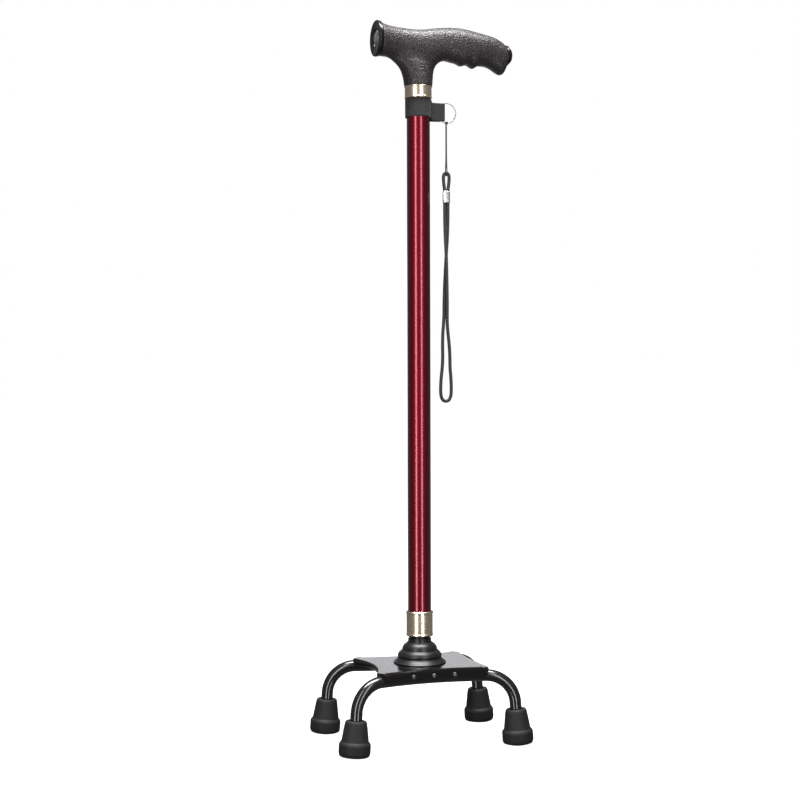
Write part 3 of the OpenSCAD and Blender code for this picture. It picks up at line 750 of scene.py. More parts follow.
for part in frame["record"]["subparts"]:
    obj = frame["nodes"][part["node"]]
    obj.data.materials.clear()
    obj.data.materials.append(material(part["material_slot"]))


# ---- camera

CAMERA_PLACE = mm(-522.1, -1535.7, 387.4)
CAMERA_HEADING = -18.05
CAMERA_PITCH = -0.778
CAMERA_ROLL = -0.163


def turned(degrees, axis):
    return Matrix.Rotation(math.radians(degrees), 4, axis)


camera = link("camera", bpy.data.cameras.new("camera"))
camera.data.sensor_width = 36
camera.data.lens = 67.5
camera.data.clip_start = 0.05
camera.data.clip_end = 60
camera_turn = turned(CAMERA_HEADING, "Z") @ turned(90 + CAMERA_PITCH, "X") @ turned(CAMERA_ROLL, "Z")
camera.matrix_world = Matrix.Translation(CAMERA_PLACE) @ camera_turn
bpy.context.scene.camera = camera


# ---- cords

STRAP_X = 31.9
CORD_D = 3.6
TETHER_D = 1.2
STRAND_GAP = 1.85

TETHER_HALF = [
    (0, 0.7, 663.8), (0, 0.7, 655), (0, 0.7, 645), (0, 0.8, 635), (0, 1.1, 625), (0, 1.9, 617.5),
    (0, 2.5, 613.5), (0, 2.6, 611.2), (0, 2, 609.6), (0, 1.1, 608.9),
]
EYE_HALF = [
    (1.85, 0, 585.5), (1.85, 0, 592), (2.6, 0, 598), (3.2, 0, 604), (3.1, 0, 608.2), (2, 0, 610.6),
]
WRIST_ROUTE = [
    (1.85, 0, 583), (1.85, 0, 572), (1.75, 0.3, 558), (1.4, 1.1, 541), (0.5, 1.8, 524),
    (-0.5, 2, 506), (-1.6, 1.8, 488), (-2.3, 1.4, 470), (-2.6, 1.2, 457), (-3.4, 0.7, 447),
    (-4.3, 0.2, 437), (-4.7, 0, 424), (-4.6, 0, 411), (-5.2, 0, 400), (-6.4, 0, 389), (-7, 0, 378),
    (-6.6, 0, 370), (-4.5, 0, 365.2), (-1, 0, 363.8), (2.5, 0, 365.2), (4.7, 0, 370),
    (5.2, 0, 378), (4.8, 0, 389), (3.9, 0, 400), (3.7, 0, 411), (3, 0, 424), (1.6, -0.2, 437),
    (0.5, -0.8, 447), (0.2, -1.4, 457), (0.2, -1.6, 470), (-0.1, -1.8, 488), (-0.5, -2, 506),
    (-1, -1.8, 524), (-1.6, -1.1, 541), (-1.85, -0.3, 558), (-1.85, 0, 572), (-1.85, 0, 583),
]


def looped(half, end, turn):
    """A half route, the point at its end, and the half run backwards on the other side."""
    return half + [end] + [(x * turn[0], y * turn[1], z) for x, y, z in reversed(half)]


def make_cord(name, points, diameter, side, step):
    path = evenly(route(points, 8), step) + np.array([STRAP_X, 0, 0])
    piece = tube(name, path, diameter / 2, 20, side)
    return dress(piece, "strap", "cord_black", name.replace("braided_", "")), path


def declare(piece, path, diameter, far_end, with_pieces):
    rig.cord(
        piece, exit=(path[0] * MM).tolist(), length=float(distances(path)[-1]) * MM, diameter=diameter * MM,
        far_end=far_end, stiffness="limp", lay="hanging", path=(path * MM).tolist(),
        with_pieces=with_pieces,
    )


def make_knot():
    """The hitch of the tether round the split ring: two turns of cord side by side on the wire."""
    centre = (low("tether_knot") + high("tether_knot")) / 2
    reach_x = (high("tether_knot").x - low("tether_knot").x) / 2
    steps, turn_r = 32, 1.15
    angle = circle(steps)
    y, z = centre.y + turn_r * np.cos(angle), centre.z + turn_r * np.sin(angle)
    turns = []
    for share in (-0.55, 0.55):
        path = np.stack([np.full(steps, centre.x + share * reach_x), y, z], axis=1)
        turns.append(tube("turn", path, TETHER_D / 2 - 0.05, 12, (1, 0, 0), closed=True))
    return dress(joined("hitch_knot", turns), "strap", "cord_black", "tether_knot")


def make_crimp():
    """A sleeve pressed flat over both strands, with rolled ends and three pressed dimples."""
    bottom, top = low("cord_crimp").z, high("cord_crimp").z
    tall, outer_r, inner_r = 12, 2.3, 1.85
    dimples, dimple_depth, dimple_width = (3, 6, 9), 0.28, 0.75
    rolled = [(0, -0.32), (0.35, -0.06), (0.9, 0), (11.1, 0), (11.65, -0.06), (tall, -0.32)]
    sides = 64
    angle = circle(sides)
    rows, uv = [], []

    def row(h, r, press):
        x = np.cos(angle) * r + np.sign(np.cos(angle)) * STRAND_GAP
        y = np.sin(angle) * (r - press * np.abs(np.sin(angle)) ** 3)
        z = np.full(sides, bottom + h * (top - bottom) / tall)
        rows.append(np.stack([STRAP_X + x, y, z], axis=1))
        uv.append(np.stack([angle / TAU, np.full(sides, h * MM)], axis=1))

    for h in np.concatenate([[0, 0.35, 0.9], np.linspace(1.2, 10.8, 29), [11.1, 11.65, tall]]):
        edge = np.interp(h, *zip(*rolled))
        press = sum(dimple_depth * math.exp(-((h - c) / dimple_width) ** 2) for c in dimples)
        row(h, outer_r + edge, press)
    row(tall, inner_r, 0)
    row(0, inner_r, 0)
    faces = grid(len(rows), sides, wrap_rows=True)
    piece = add_mesh("pressed_crimp", np.concatenate(rows), faces, np.concatenate(uv))
    return dress(clean(piece, 50), "strap", "crimp_metal", "cord_crimp")


TETHER_ROUTE = looped(TETHER_HALF, (0, 0, 608.6), (1, -1))
EYE_ROUTE = looped(EYE_HALF, (0, 0, 611.4), (-1, 1))
tether, tether_path = make_cord("braided_tether_cord", TETHER_ROUTE, TETHER_D, (1, 0, 0), 0.8)
eye, eye_path = make_cord("braided_cord_eye", EYE_ROUTE, CORD_D, (0, 1, 0), 0.8)
wrist, wrist_path = make_cord("braided_wrist_cord", WRIST_ROUTE, CORD_D, (0, 1, 0), 1)
knot = make_knot()
crimp = make_crimp()
declare(tether, tether_path, TETHER_D, "object", [knot])
declare(eye, eye_path, CORD_D, "object", [])
declare(wrist, wrist_path, CORD_D, "fitting", [crimp])


# ---- base

LEG_R = 6.35
LEG_PLAN_R = 210
LEG_Y = 40
LEG_RUN = 58.5
LEG_BEND_R = 31
LEG_SPLAY = math.radians(4)
LEG_Z = high("left_leg_tube").z - LEG_R
LEG_TURN = math.asin(LEG_RUN / LEG_PLAN_R)
LEG_ARC_Y = LEG_Y + LEG_PLAN_R
BEND_SWEEP = math.pi / 2 - LEG_SPLAY
LEG_DROP = LEG_Z - LEG_BEND_R * (1 - math.cos(BEND_SWEEP))
LEG_REACH = LEG_BEND_R * math.sin(BEND_SWEEP) + LEG_DROP * math.tan(LEG_SPLAY)
TUBE_END_Z = low("left_leg_tube").z


def leg_point(out, z):
    """A point of the rear left leg's plane: out is its distance past the bend's start."""
    return (
        LEG_PLAN_R * math.sin(LEG_TURN) + out * math.cos(LEG_TURN),
        LEG_PLAN_R * math.cos(LEG_TURN) - LEG_ARC_Y - out * math.sin(LEG_TURN),
        z,
    )


def leg_path():
    """An arc beside the post, a bend down and a splayed leg to the rear, and the same to the front."""
    half = []
    for a in np.linspace(0, LEG_TURN, 24):
        half.append((LEG_PLAN_R * math.sin(a), LEG_PLAN_R * math.cos(a) - LEG_ARC_Y, LEG_Z))
    for a in np.linspace(0, BEND_SWEEP, 40)[1:]:
        half.append(leg_point(LEG_BEND_R * math.sin(a), LEG_Z - LEG_BEND_R * (1 - math.cos(a))))
    for z in np.linspace(LEG_DROP, TUBE_END_Z + 1, 12)[1:]:
        half.append(leg_point(LEG_REACH - z * math.tan(LEG_SPLAY), z))
    return [(-x, y, z) for x, y, z in reversed(half[1:])] + half


def make_leg_tubes():
    for side, sign in (("left", 1), ("right", -1)):
        path = [(x, y * sign, z) for x, y, z in leg_path()]
        dress(tube(f"bent_tube_{side}", path, LEG_R - 0.02, 48), "base", "base_black", f"{side}_leg_tube")


def make_tips():
    """Rubber tips: a chamfered foot ring, a step, a tapered body and a rolled rim round the tube."""
    foot_r, top_r, tall, ring_h = 16.6, 11.4, 36.5, 14
    outline = rounded([
        (LEG_R + 0.02, 12), (LEG_R + 0.02, tall - 0.4, 0.6), (LEG_R + 1.2, tall, 0.6),
        (top_r - 0.9, tall, 1.6), (top_r + 0.15, tall - 2.4, 1.4), (foot_r - 2.3, ring_h + 1.4, 0.8),
        (foot_r - 1.1, ring_h + 0.4, 1), (foot_r, ring_h - 1.6, 1.2), (foot_r, 3, 1.6),
        (foot_r - 1.2, 0, 1.2), (11.5, 0, 0.3), (11.4, 1.2, 0.3), (9.6, 1.2, 0.3), (9.5, 0, 0.3),
        (4, 0, 0.3), (3.9, 1, 0.3), (0, 1),
    ], 5)
    x, y, _ = leg_point(LEG_REACH, 0)
    lean = Matrix.Rotation(-LEG_TURN, 4, "Z") @ Matrix.Rotation(-LEG_SPLAY, 4, "Y")
    for front, sx in (("front", -1), ("rear", 1)):
        for left, sy in (("left", -1), ("right", 1)):
            node = f"tip_{front}_{left}"
            piece = lathe(f"rubber_{node}", outline, sides=72, closed=False)
            piece.data.transform(Matrix.Diagonal((sx, -sy, 1, 1)) @ Matrix.Translation(mm(x, y, 0)) @ lean)
            for v in piece.data.vertices:
                v.co.z = max(v.co.z, 0)
            dress(clean(piece), "base", "tip_rubber", node)


PLATE_L = high("base_plate").x
PLATE_TOP = high("base_plate").z
PLATE_T = 2.5
WRAP_R = LEG_R + 0.05 + PLATE_T
WRAP_DEPTH = PLATE_TOP - low("base_plate").z
HEM_R = 1.6
HEM_DEPTH = 6.0
FRONT_HOLLOW, REAR_HOLLOW = 10, 2.5
WRAP_END_X = 54


def long_edge():
    """The plate's edge over the right tube, rear to front, as (x, y, fold radius, skirt depth)."""
    outer_r = LEG_PLAN_R - WRAP_R
    middle = []
    for x in np.linspace(WRAP_END_X, -WRAP_END_X, 73):
        middle.append((x, LEG_ARC_Y - math.sqrt(outer_r**2 - x**2), WRAP_R, WRAP_DEPTH))
    start = (-WRAP_END_X, middle[-1][1])
    turn = route([start, (-57.2, 54.9), (-59.9, 52), (-61.5, 48.4), (-PLATE_L, 44.6)], 5)[1:]
    ease = (np.arange(1, len(turn) + 1) / len(turn)) ** 0.8
    corner = [
        (x, y, WRAP_R + (HEM_R - WRAP_R) * e, WRAP_DEPTH + (HEM_DEPTH - WRAP_DEPTH) * e)
        for (x, y), e in zip(turn, ease)
    ]
    return [(-x, y, r, d) for x, y, r, d in reversed(corner)] + middle + corner


def short_edge(hollow, half, end, sign):
    """A hollow short edge: end is -1 in front and 1 at the rear, and sign is the side where it starts."""
    r = (half**2 + hollow**2) / (2 * hollow)
    edge = []
    for y in np.linspace(43.5, 0, 30):
        inset = max(0, hollow - r + math.sqrt(r**2 - y**2))
        edge.append((end * (PLATE_L - inset), sign * y, HEM_R, HEM_DEPTH))
    return edge + [(x, -y, hem_r, depth) for x, y, hem_r, depth in reversed(edge[:-1])]


def plate_outline():
    """The pressed plate seen from above, counter-clockwise from its right long edge: the long edges wrap
    the tubes and the short ones are hollow. Each point has its fold's radius and its skirt's depth."""
    right = long_edge()
    left = [(-x, -y, r, d) for x, y, r, d in right]
    front, rear = short_edge(FRONT_HOLLOW, 42, -1, 1), short_edge(REAR_HOLLOW, 43.5, 1, -1)
    return np.array(right + front + left + rear)


def inward(outline):
    """Unit directions that point into a counter-clockwise outline, smoothed a little."""
    ahead = unit(np.roll(outline[:, :2], -1, axis=0) - np.roll(outline[:, :2], 1, axis=0))
    normal = np.stack([-ahead[:, 1], ahead[:, 0]], axis=1)
    for _ in range(3):
        normal = unit(normal + 0.5 * (np.roll(normal, 1, axis=0) + np.roll(normal, -1, axis=0)))
    return normal


def make_plate():
    """Pressed sheet: a flat top that rolls over into a skirt all round, hollow underneath."""
    outline = plate_outline()
    normal = inward(outline)
    fold, depth = outline[:, 2], outline[:, 3]
    inner = np.maximum(fold - PLATE_T, 0.4)
    flat = fold + 2.5
    n = len(outline)
    rows = []

    def row(inset, drop):
        xy = outline[:, :2] + normal * np.broadcast_to(inset, n)[:, None]
        rows.append(np.column_stack([xy, PLATE_TOP - np.broadcast_to(drop, n)]))

    row(flat, 0)
    for a in np.linspace(0, math.pi / 2, 11):
        row(fold * (1 - math.sin(a)), fold * (1 - math.cos(a)))
    row(0, depth - 0.5)
    row(0.35, depth)
    row(PLATE_T - 0.35, depth)
    row(PLATE_T, depth - 0.5)
    for a in np.linspace(math.pi / 2, 0, 7):
        row(PLATE_T + inner * (1 - math.sin(a)), PLATE_T + inner * (1 - math.cos(a)))
    row(flat + 0.4, PLATE_T)
    last = len(rows) * n
    faces = grid(len(rows), n) + [tuple(range(n - 1, -1, -1)), tuple(range(last - n, last))]
    piece = clean(add_mesh("pressed_plate", np.concatenate(rows), faces), 50)
    modify(piece, "TRIANGULATE")
    smooth(piece.data, 50)
    return dress(piece, "base", "base_black", "base_plate")


RIVET_TILT = 20
RIVET_TURNS = (-6.5, 0, 6.5)


def make_rivets():
    """Domed rivet heads with a thin flat rim, three on the fold over each tube."""
    outline = rounded([
        (0, 1.25), (1.2, 1.15, 0.5), (2.2, 0.65, 0.6), (2.5, 0.2, 0.2), (2.5, 0, 0.1), (1.3, -0.1, 0.1),
        (1.3, -2.6), (0, -2.6),
    ])
    tilted = turned(-RIVET_TILT, "X") @ Matrix.Translation(mm(0, -WRAP_R, 0)) @ turned(90, "X")
    parts = []
    for side in (-1, 1):
        for angle in RIVET_TURNS:
            head = lathe("head", outline, sides=40, closed=False)
            spoke = turned(angle, "Z") @ Matrix.Translation(mm(0, LEG_PLAN_R, 0))
            head.data.transform(Matrix.Translation(mm(0, -LEG_ARC_Y, LEG_Z)) @ spoke @ tilted)
            head.data.transform(Matrix.Diagonal((1, side, 1, 1)))
            parts.append(head)
    dress(clean(joined("domed_rivets", parts)), "base", "rivet_steel", "plate_rivets")


def make_boot():
    """Moulded boot: flared skirt, a deep groove, a rolled ring, a dome and a plain neck."""
    outside = route([
        (28.2, 0.2), (28.35, 0.7), (27.9, 1.4), (25.9, 2.9), (24.4, 4.4), (23.4, 5.6), (23.2, 6.3),
        (23.7, 6.8), (23.9, 7.9), (23.6, 9.2), (22.8, 10.8), (21.6, 12.2), (20, 13.4), (19.2, 13.9),
        (19, 14.5), (18.9, 15.8), (18.1, 17.9), (16.6, 19.8), (14.6, 21.4), (13.1, 22.5), (12.6, 23.6),
        (12.5, 25.6), (12.4, 26.4), (12, 26.7), (11, 26.7),
    ], 5)
    inside = [(10.4, 26), (10.4, 20.5), (16.5, 12.5), (20.6, 6), (25.2, 0), (27.9, 0)]
    piece = lathe("moulded_boot", np.concatenate([outside, inside]), (0, 0, PLATE_TOP), sides=128)
    dress(piece, "base", "boot_black", "boot")


make_leg_tubes()
make_tips()
plate = make_plate()
make_rivets()
make_boot()


# ---- shaft and rings

def beaded(r, bottom, top, beads):
    """A ring's outside, with the same beads, as (depth, distance from the end, radius), at both ends."""
    lower = [(r - depth, bottom + rise, bend) for depth, rise, bend in beads]
    return lower + [(r - depth, top - rise, bend) for depth, rise, bend in reversed(beads)]


def make_collar():
    """Lock collar: rolled beads at both ends, a shallow band between them for the engraving."""
    bottom, top = low("lock_collar").z, high("lock_collar").z
    r = high("lock_collar").x
    beads = [(0.15, 0.9, 0.9), (0, 1.9, 0.7), (0.1, 2.6, 0.3), (0.55, 2.9, 0.3), (0.5, 3.4, 0.3)]
    inside = [(13.7, top, 0.2), (13.65, top - 1.5), (13.65, bottom + 2.1), (10.75, bottom + 2)]
    outline = [(10.75, bottom + 0.05), (r - 1.3, bottom, 0.4)] + beaded(r, bottom, top, beads)
    outline = rounded(outline + [(r - 1.1, top, 0.4)] + inside)
    dress(lathe("engraved_collar", outline, sides=160), "collar", "champagne_ring", "lock_collar")


def make_handle_ring():
    bottom, top = low("handle_ring").z, high("handle_ring").z
    inner_r = 12.6
    beads = [(0.4, 0, 0.3), (0, 0.5, 0.4), (0, 1.5, 0.3), (0.45, 1.9, 0.3)]
    outside = beaded(high("handle_ring").x, bottom, top, beads)
    outline = rounded([(inner_r, bottom)] + outside + [(inner_r, top)])
    dress(lathe("engraved_handle_ring", outline, sides=160), "shaft", "champagne_ring", "handle_ring")


def make_leaf_spring():
    """V-shaped leaf: one arm stays on the inner tube's far wall, the other bends as the button goes in."""
    box_low, box_high = low("button_spring"), high("button_spring")
    thick, half = 0.6, (box_high.x - box_low.x) / 2
    near, far = box_high.y - thick / 2, box_low.y + thick / 2
    top, fold_y = box_high.z, -1.0
    fold_z = box_low.z + thick / 2
    path = evenly([(near, top), (near, top - 11), (fold_y, fold_z), (far, top - 19), (far, top - 5)], 0.8)
    for _ in range(3):
        path[1:-1] = (path[:-2] + 2 * path[1:-1] + path[2:]) / 4
    ahead = unit(np.gradient(path, axis=0))
    out = np.stack([ahead[:, 1], -ahead[:, 0]], axis=1)
    half_section = [(-1, -0.35), (-0.93, -0.5), (0.93, -0.5), (1, -0.35)]
    section = half_section + [(-across, -depth) for across, depth in half_section]
    points = []
    for place, side in zip(path, out):
        for across, depth in section:
            points.append((half * across, *(place + side * depth * thick)))
    piece = clean(add_mesh("leaf_spring", points, grid(len(path), len(section), caps=True)), 50)
    piece.data.materials.append(material("spring_steel"))
    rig.blend(piece, "base", "snap_button", mm(0, fold_y, top), mm(0, near, top))
    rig.slot(piece, "spring_steel")
    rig.replaces(piece, "button_spring")


make_collar()
make_handle_ring()
make_leaf_spring()


# ---- handle

FACE_X = low("torch_bezel").x
GRIP_FRONT = low("handle").x
GRIP_REAR = high("handle").x
TORCH_Z = (low("torch_bezel").z + high("torch_bezel").z) / 2
TAIL_Z = (low("tail_cap").z + high("tail_cap").z) / 2
NECK_Z = low("handle").z
NECK_TOP = 736

GRIP_TOP = [
    (-45, 770.3), (-42.5, 768.9), (-40, 767.7), (-36, 766.6), (-30, 765.6), (-24, 765), (-8, 764),
    (4, 764.4), (16, 766.3), (26, 767.6), (40, 768.5), (50, 768.1), (62, 766.2), (73, 764.1), (84, 761.9),
    (93, 758.5), (97, 756), (100, 752.8),
]
GRIP_LOW = [
    (-45, 733.8), (-36, 733.4), (-20, 731), (18, 731), (31, 732.8), (40, 731.2), (48, 730.3), (60, 729.6),
    (70, 729.7), (78, 729.2), (84.5, 726.8), (91, 722.6), (95.3, 721.1), (98, 723), (100, 727.5),
]
RIDGES = [(49.1, 3.4, 2.2), (62.8, 3.6, 3.5)]
GRIP_WIDTH = [
    (-45, 18.5), (-41, 18.1), (-36, 16.6), (-28, 15.2), (-18, 14.4), (0, 14.6), (20, 15.6), (45, 16.5),
    (65, 16.1), (82, 14.8), (94, 13.2), (100, 11.6),
]
NECK_FRONT = [(NECK_Z, -15.3), (711, -16.4), (720, -19.4), (726, -24), (731, -31), (NECK_TOP, -39)]
NECK_REAR = [(NECK_Z, 15.3), (711, 15.9), (721, 17.2), (728, 21), (732, 27), (NECK_TOP, 32)]
NECK_WIDTH = [(NECK_Z, 15.3), (716, 14.6), (726, 13.6), (731, 12.2), (NECK_TOP, 11)]


def grip_rings(count, sides):
    """Cross-sections of the grip: fuller than an oval, with the finger ridges fading out up its sides."""
    c, s = np.cos(circle(sides)), np.sin(circle(sides))
    under = np.clip(-s, 0, 1) ** 1.6
    fullness, ease = 0.14, 12
    rows = []
    for x in np.linspace(GRIP_FRONT, GRIP_REAR, count):
        top, bottom, wide = (curve(line, x) for line in (GRIP_TOP, GRIP_LOW, GRIP_WIDTH))
        power = 1 - fullness * min(1, max(0, (x - GRIP_FRONT) / ease))
        y = wide * np.sign(c) * np.abs(c) ** power
        z = (top + bottom) / 2 + (top - bottom) / 2 * np.sign(s) * np.abs(s) ** power
        ridge = sum(h * math.exp(-((x - at) / w) ** 2) for at, w, h in RIDGES)
        rows.append(np.column_stack([np.full(sides, x), y, z - ridge * under]))
    return rows


def neck_rings(count, sides):
    angle = circle(sides)
    rows = []
    for z in np.linspace(NECK_Z, NECK_TOP, count):
        a, b, w = (curve(line, z) for line in (NECK_FRONT, NECK_REAR, NECK_WIDTH))
        x = (a + b) / 2 + (b - a) / 2 * np.cos(angle)
        rows.append(np.column_stack([x, w * np.sin(angle), np.full(sides, z)]))
    return rows


def loft(name, rows):
    return clean(add_mesh(name, np.concatenate(rows), grid(len(rows), len(rows[0]), caps=True)))


def relax(obj, weight, rounds):
    """Evens out a mesh where weight is above 0, as a fillet does where two shapes meet."""
    mesh = obj.data
    count = len(mesh.vertices)
    co = np.zeros(count * 3)
    mesh.vertices.foreach_get("co", co)
    co = co.reshape(-1, 3)
    edges = np.zeros(len(mesh.edges) * 2, np.int64)
    mesh.edges.foreach_get("vertices", edges)
    a, b = edges.reshape(-1, 2).T
    near = np.bincount(a, minlength=count) + np.bincount(b, minlength=count)
    share = weight(co / MM)[:, None]
    for _ in range(rounds):
        total = np.zeros_like(co)
        np.add.at(total, a, co[b])
        np.add.at(total, b, co[a])
        co = co + share * (total / near[:, None] - co)
    mesh.vertices.foreach_set("co", co.ravel())
    mesh.update()


def fillet_weight(co):
    """Highest along the line where the neck runs into the grip, and 0 away from it."""
    front, rear, fade, reach, most = -41, 33, 6, 9, 0.75
    x, z = co[:, 0], co[:, 2]
    centre = np.interp(x, [-40, -20, 0, 20, 32], [738, 737, 737, 736, 735])
    inside = np.clip((x - front) / fade, 0, 1) * np.clip((rear - x) / fade, 0, 1)
    return most * np.clip(1 - ((z - centre) / reach) ** 2, 0, 1) * inside


def skin_weight(co):
    """The same all over, to even out the remesh's steps, but 0 at the grip's front and the neck's foot."""
    margin, share = 1.5, 0.5
    return np.where((co[:, 0] > GRIP_FRONT + margin) & (co[:, 2] > NECK_Z + margin), share, 0)


def make_handle():
    """One soft moulding: the grip and the neck run together, with the torch's bore and a screw hole."""
    voxel, seat_r, barrel_r, cell_r, deep = 0.9, 14.3, 11.4, 7.25, 112
    screw_r, screw_y, screw_z = 3.4, 20.4, 718
    body = joined("handle_body", [loft("grip", grip_rings(150, 96)), loft("neck", neck_rings(30, 96))])
    modify(body, "REMESH", mode="VOXEL", voxel_size=voxel * MM, use_smooth_shade=True)
    relax(body, fillet_weight, 60)
    relax(body, skin_weight, 4)
    bore = [(0, -1), (seat_r, -1), (seat_r, 4.5), (barrel_r, 18), (barrel_r, 18.5), (cell_r, 18.5)]
    bore += [(cell_r, deep), (0, deep)]
    cut(body, lathe("bore", bore, (GRIP_FRONT, 0, TORCH_Z), "X", 96, closed=False))
    hole = lathe("hole", [(0, -1), (screw_r, -1), (screw_r, 8), (0, 8)], sides=40, closed=False)
    hole.data.transform(Matrix.Translation(mm(0, screw_y, screw_z)) @ turned(90, "X"))
    cut(body, hole)
    body.name = "moulded_handle"
    smooth(body.data, 45)
    dress(body, "shaft", "grip_charcoal", "handle")


make_handle()


# ---- torch

LENS_IN = 5.7
CUP_IN = 6.95


def make_bezel():
    """Screw-in bezel: a rounded rim, a dished face and a step down to the lens."""
    r = high("torch_bezel").z - TORCH_Z
    outline = rounded([
        (9.7, 2.4, 0.3), (10.2, 1.5, 0.5), (12, 1, 0.8), (15, 0.55, 1), (r - 2, 0, 0.7),
        (r - 0.7, 0.3, 0.6), (r, 1.3, 0.8), (r - 0.5, 4.5, 0.4), (r - 0.9, 5, 0.3), (13.1, 5),
        (13.1, 9), (11.7, 9), (11.7, 4.9), (9.7, 4.9),
    ])
    piece = lathe("bezel_ring", outline, (FACE_X, 0, TORCH_Z), "X", 128)
    dress(piece, "shaft", "gloss_black", "torch_bezel")


def make_lens():
    """Domed lens on a short shank, with a flange behind the bezel."""
    dome_r, rise, shank, flange_r = 9.4, 3.2, 2.2, 11.5
    front = [(dome_r * math.sin(a), -shank - rise * math.cos(a)) for a in np.linspace(0, math.pi / 2, 16)]
    outline = front + [(dome_r, 0), (flange_r, 0), (flange_r, 1.2), (0, 1.2)]
    piece = lathe("domed_lens", outline, (FACE_X + LENS_IN, 0, TORCH_Z), "X", 96, closed=False)
    dress(piece, "shaft", "clear_lens", "torch_lens")


def make_reflector():
    """Parabolic cup pressed in flats: each ring of flats is turned half a step against the last."""
    depth, mouth, hole, wall = 9, 10.6, 2.8, 0.8
    sides, rings = 16, 5
    rows = []
    for shift, sign in ((0, 1), (wall, -1)):
        for i in range(rings + 1)[::sign]:
            r = mouth + (hole - mouth) * i / rings
            h = depth * (1 - (r**2 - hole**2) / (mouth**2 - hole**2))
            angle = (np.arange(sides) + 0.5 * (i % 2)) * TAU / sides
            r, h = r + shift, h + (shift if i else 0)
            rows.append(np.column_stack([np.full(sides, h), r * np.sin(angle), r * np.cos(angle)]))
    points = np.concatenate(rows) + np.array([FACE_X + CUP_IN, 0, TORCH_Z])
    piece = add_mesh("faceted_reflector", points, grid(len(rows), sides, wrap_rows=True))
    dress(clean(piece, 1), "shaft", "mirror_cup", "reflector")


def make_tail():
    """Light switch: a glossy surround and a domed push button with a fine ring cut round it."""
    x = low("tail_cap").x
    r = high("tail_cap").z - TAIL_Z
    surround = rounded([
        (9.25, 0.1), (r - 0.1, 0.1, 0.1), (r, 1, 0.3), (r, 2.3, 0.5), (r - 0.5, 3.2, 0.5),
        (r - 1.2, 3.58, 0.3), (9.25, 3.5, 0.2),
    ])
    dress(lathe("switch_surround", surround, (x, 0, TAIL_Z), "X", 96), "shaft", "gloss_black", "tail_cap")
    r, foot, groove, stem_r = 9.1, 3.6, 6.3, 3.0
    rise = high("switch_button").x - x - foot
    dome = [(r * math.sin(a), foot + rise * math.cos(a)) for a in np.linspace(0, math.pi / 2 * 0.97, 22)]
    i = next(k for k, point in enumerate(dome) if point[0] >= groove)
    h = np.interp(groove, *zip(*dome[i - 1:i + 1]))
    cut_ring = [(-0.15, 0.05), (0, -0.25), (0.3, -0.3), (0.45, -0.1)]
    outline = dome[:i] + [(groove + across, h + up) for across, up in cut_ring] + dome[i:]
    outline += [(r, 3.2), (r, 1.6), (stem_r, 1.6), (stem_r, -8), (0, -8)]
    button = lathe("domed_button", outline, (x, 0, TAIL_Z), "X", 96, closed=False)
    dress(button, "switch_button", "gloss_black", "switch_button")


make_bezel()
make_lens()
make_reflector()
make_tail()


# ---- wrist strap

STRAP_T = 0.85


def on_circle(r, degrees):
    return (r * math.cos(math.radians(degrees)), r * math.sin(math.radians(degrees)))


def strap_plan():
    """From its inner end behind the shaft, round the front, out to the ring, back, and over itself."""
    inner, outer = 12.98, 13.85
    out_y, back_y, fold_x, fold_r = -2.45, 2.45, 27.9, 2.15
    points = [on_circle(inner, a) for a in np.linspace(60, 341, 64)]
    points += [(15.6, -3.3), (18.5, -2.55), (22, out_y), (26.5, out_y)]
    for a in np.linspace(-80, 80, 15):
        points.append((fold_x + on_circle(fold_r, a)[0], on_circle(back_y, a)[1]))
    points += [(26.5, back_y), (22, back_y), (18.5, 2.7), (15.8, 3.6)]
    points += [on_circle(outer, a) for a in np.linspace(24, 200, 44)]
    return evenly(route(points, 3), 0.8)


def strap_edges(x):
    """The strap's lower and upper edges at x: level round the shaft, with a lower, sagging tab."""
    band_low, band_top = 669.6, 689.9
    tab_low, tab_top = low("strap_band").z + 0.4, high("strap_band").z - 3.7
    tab_start, tab_ease, sag_middle, sag_half, sag_depth = 13, 1.8, 19.5, 6.5, 0.36
    tab = np.clip((x - tab_start) / tab_ease, 0, 1)
    tab = tab * tab * (3 - 2 * tab)
    sag = sag_depth * np.clip(1 - ((x - sag_middle) / sag_half) ** 2, 0, 1)
    return band_low + (tab_low - band_low) * tab - sag, band_top + (tab_top - band_top) * tab


def make_strap():
    """A band standing on edge along its plan, with a slit in the fold's end where the ring comes out."""
    plan = strap_plan()
    ahead = unit(np.gradient(plan, axis=0))
    out = np.stack([ahead[:, 1], -ahead[:, 0]], axis=1)
    up = np.linspace(0.04, 0.96, 14)
    half_section = [(-0.5, t) for t in up] + [(-0.28, 0.995), (0, 1), (0.28, 0.995)]
    section = half_section + [(-across, 1 - t) for across, t in half_section]
    points, uv = [], []
    for place, side, run, lower, upper in zip(plan, out, distances(plan), *strap_edges(plan[:, 0])):
        for across, t in section:
            points.append((*(place + side * across * STRAP_T), lower + (upper - lower) * t))
            uv.append((run * MM, t * (upper - lower) * MM))
    strap = add_mesh("wrapped_strap", points, grid(len(plan), len(section), caps=True), uv)
    dress(clean(strap, 60), "shaft", "strap_webbing", "strap_band")
    heights = (low("split_ring").z - 0.3, high("split_ring").z + 0.3)
    corners = [(x, y, z) for x in (27.5, 31) for y in (-1.75, 1.75) for z in heights]
    sides = [(0, 1, 3, 2), (4, 6, 7, 5), (0, 4, 5, 1), (2, 3, 7, 6), (0, 2, 6, 4), (1, 5, 7, 3)]
    cut(strap, add_mesh("slit", corners, sides))


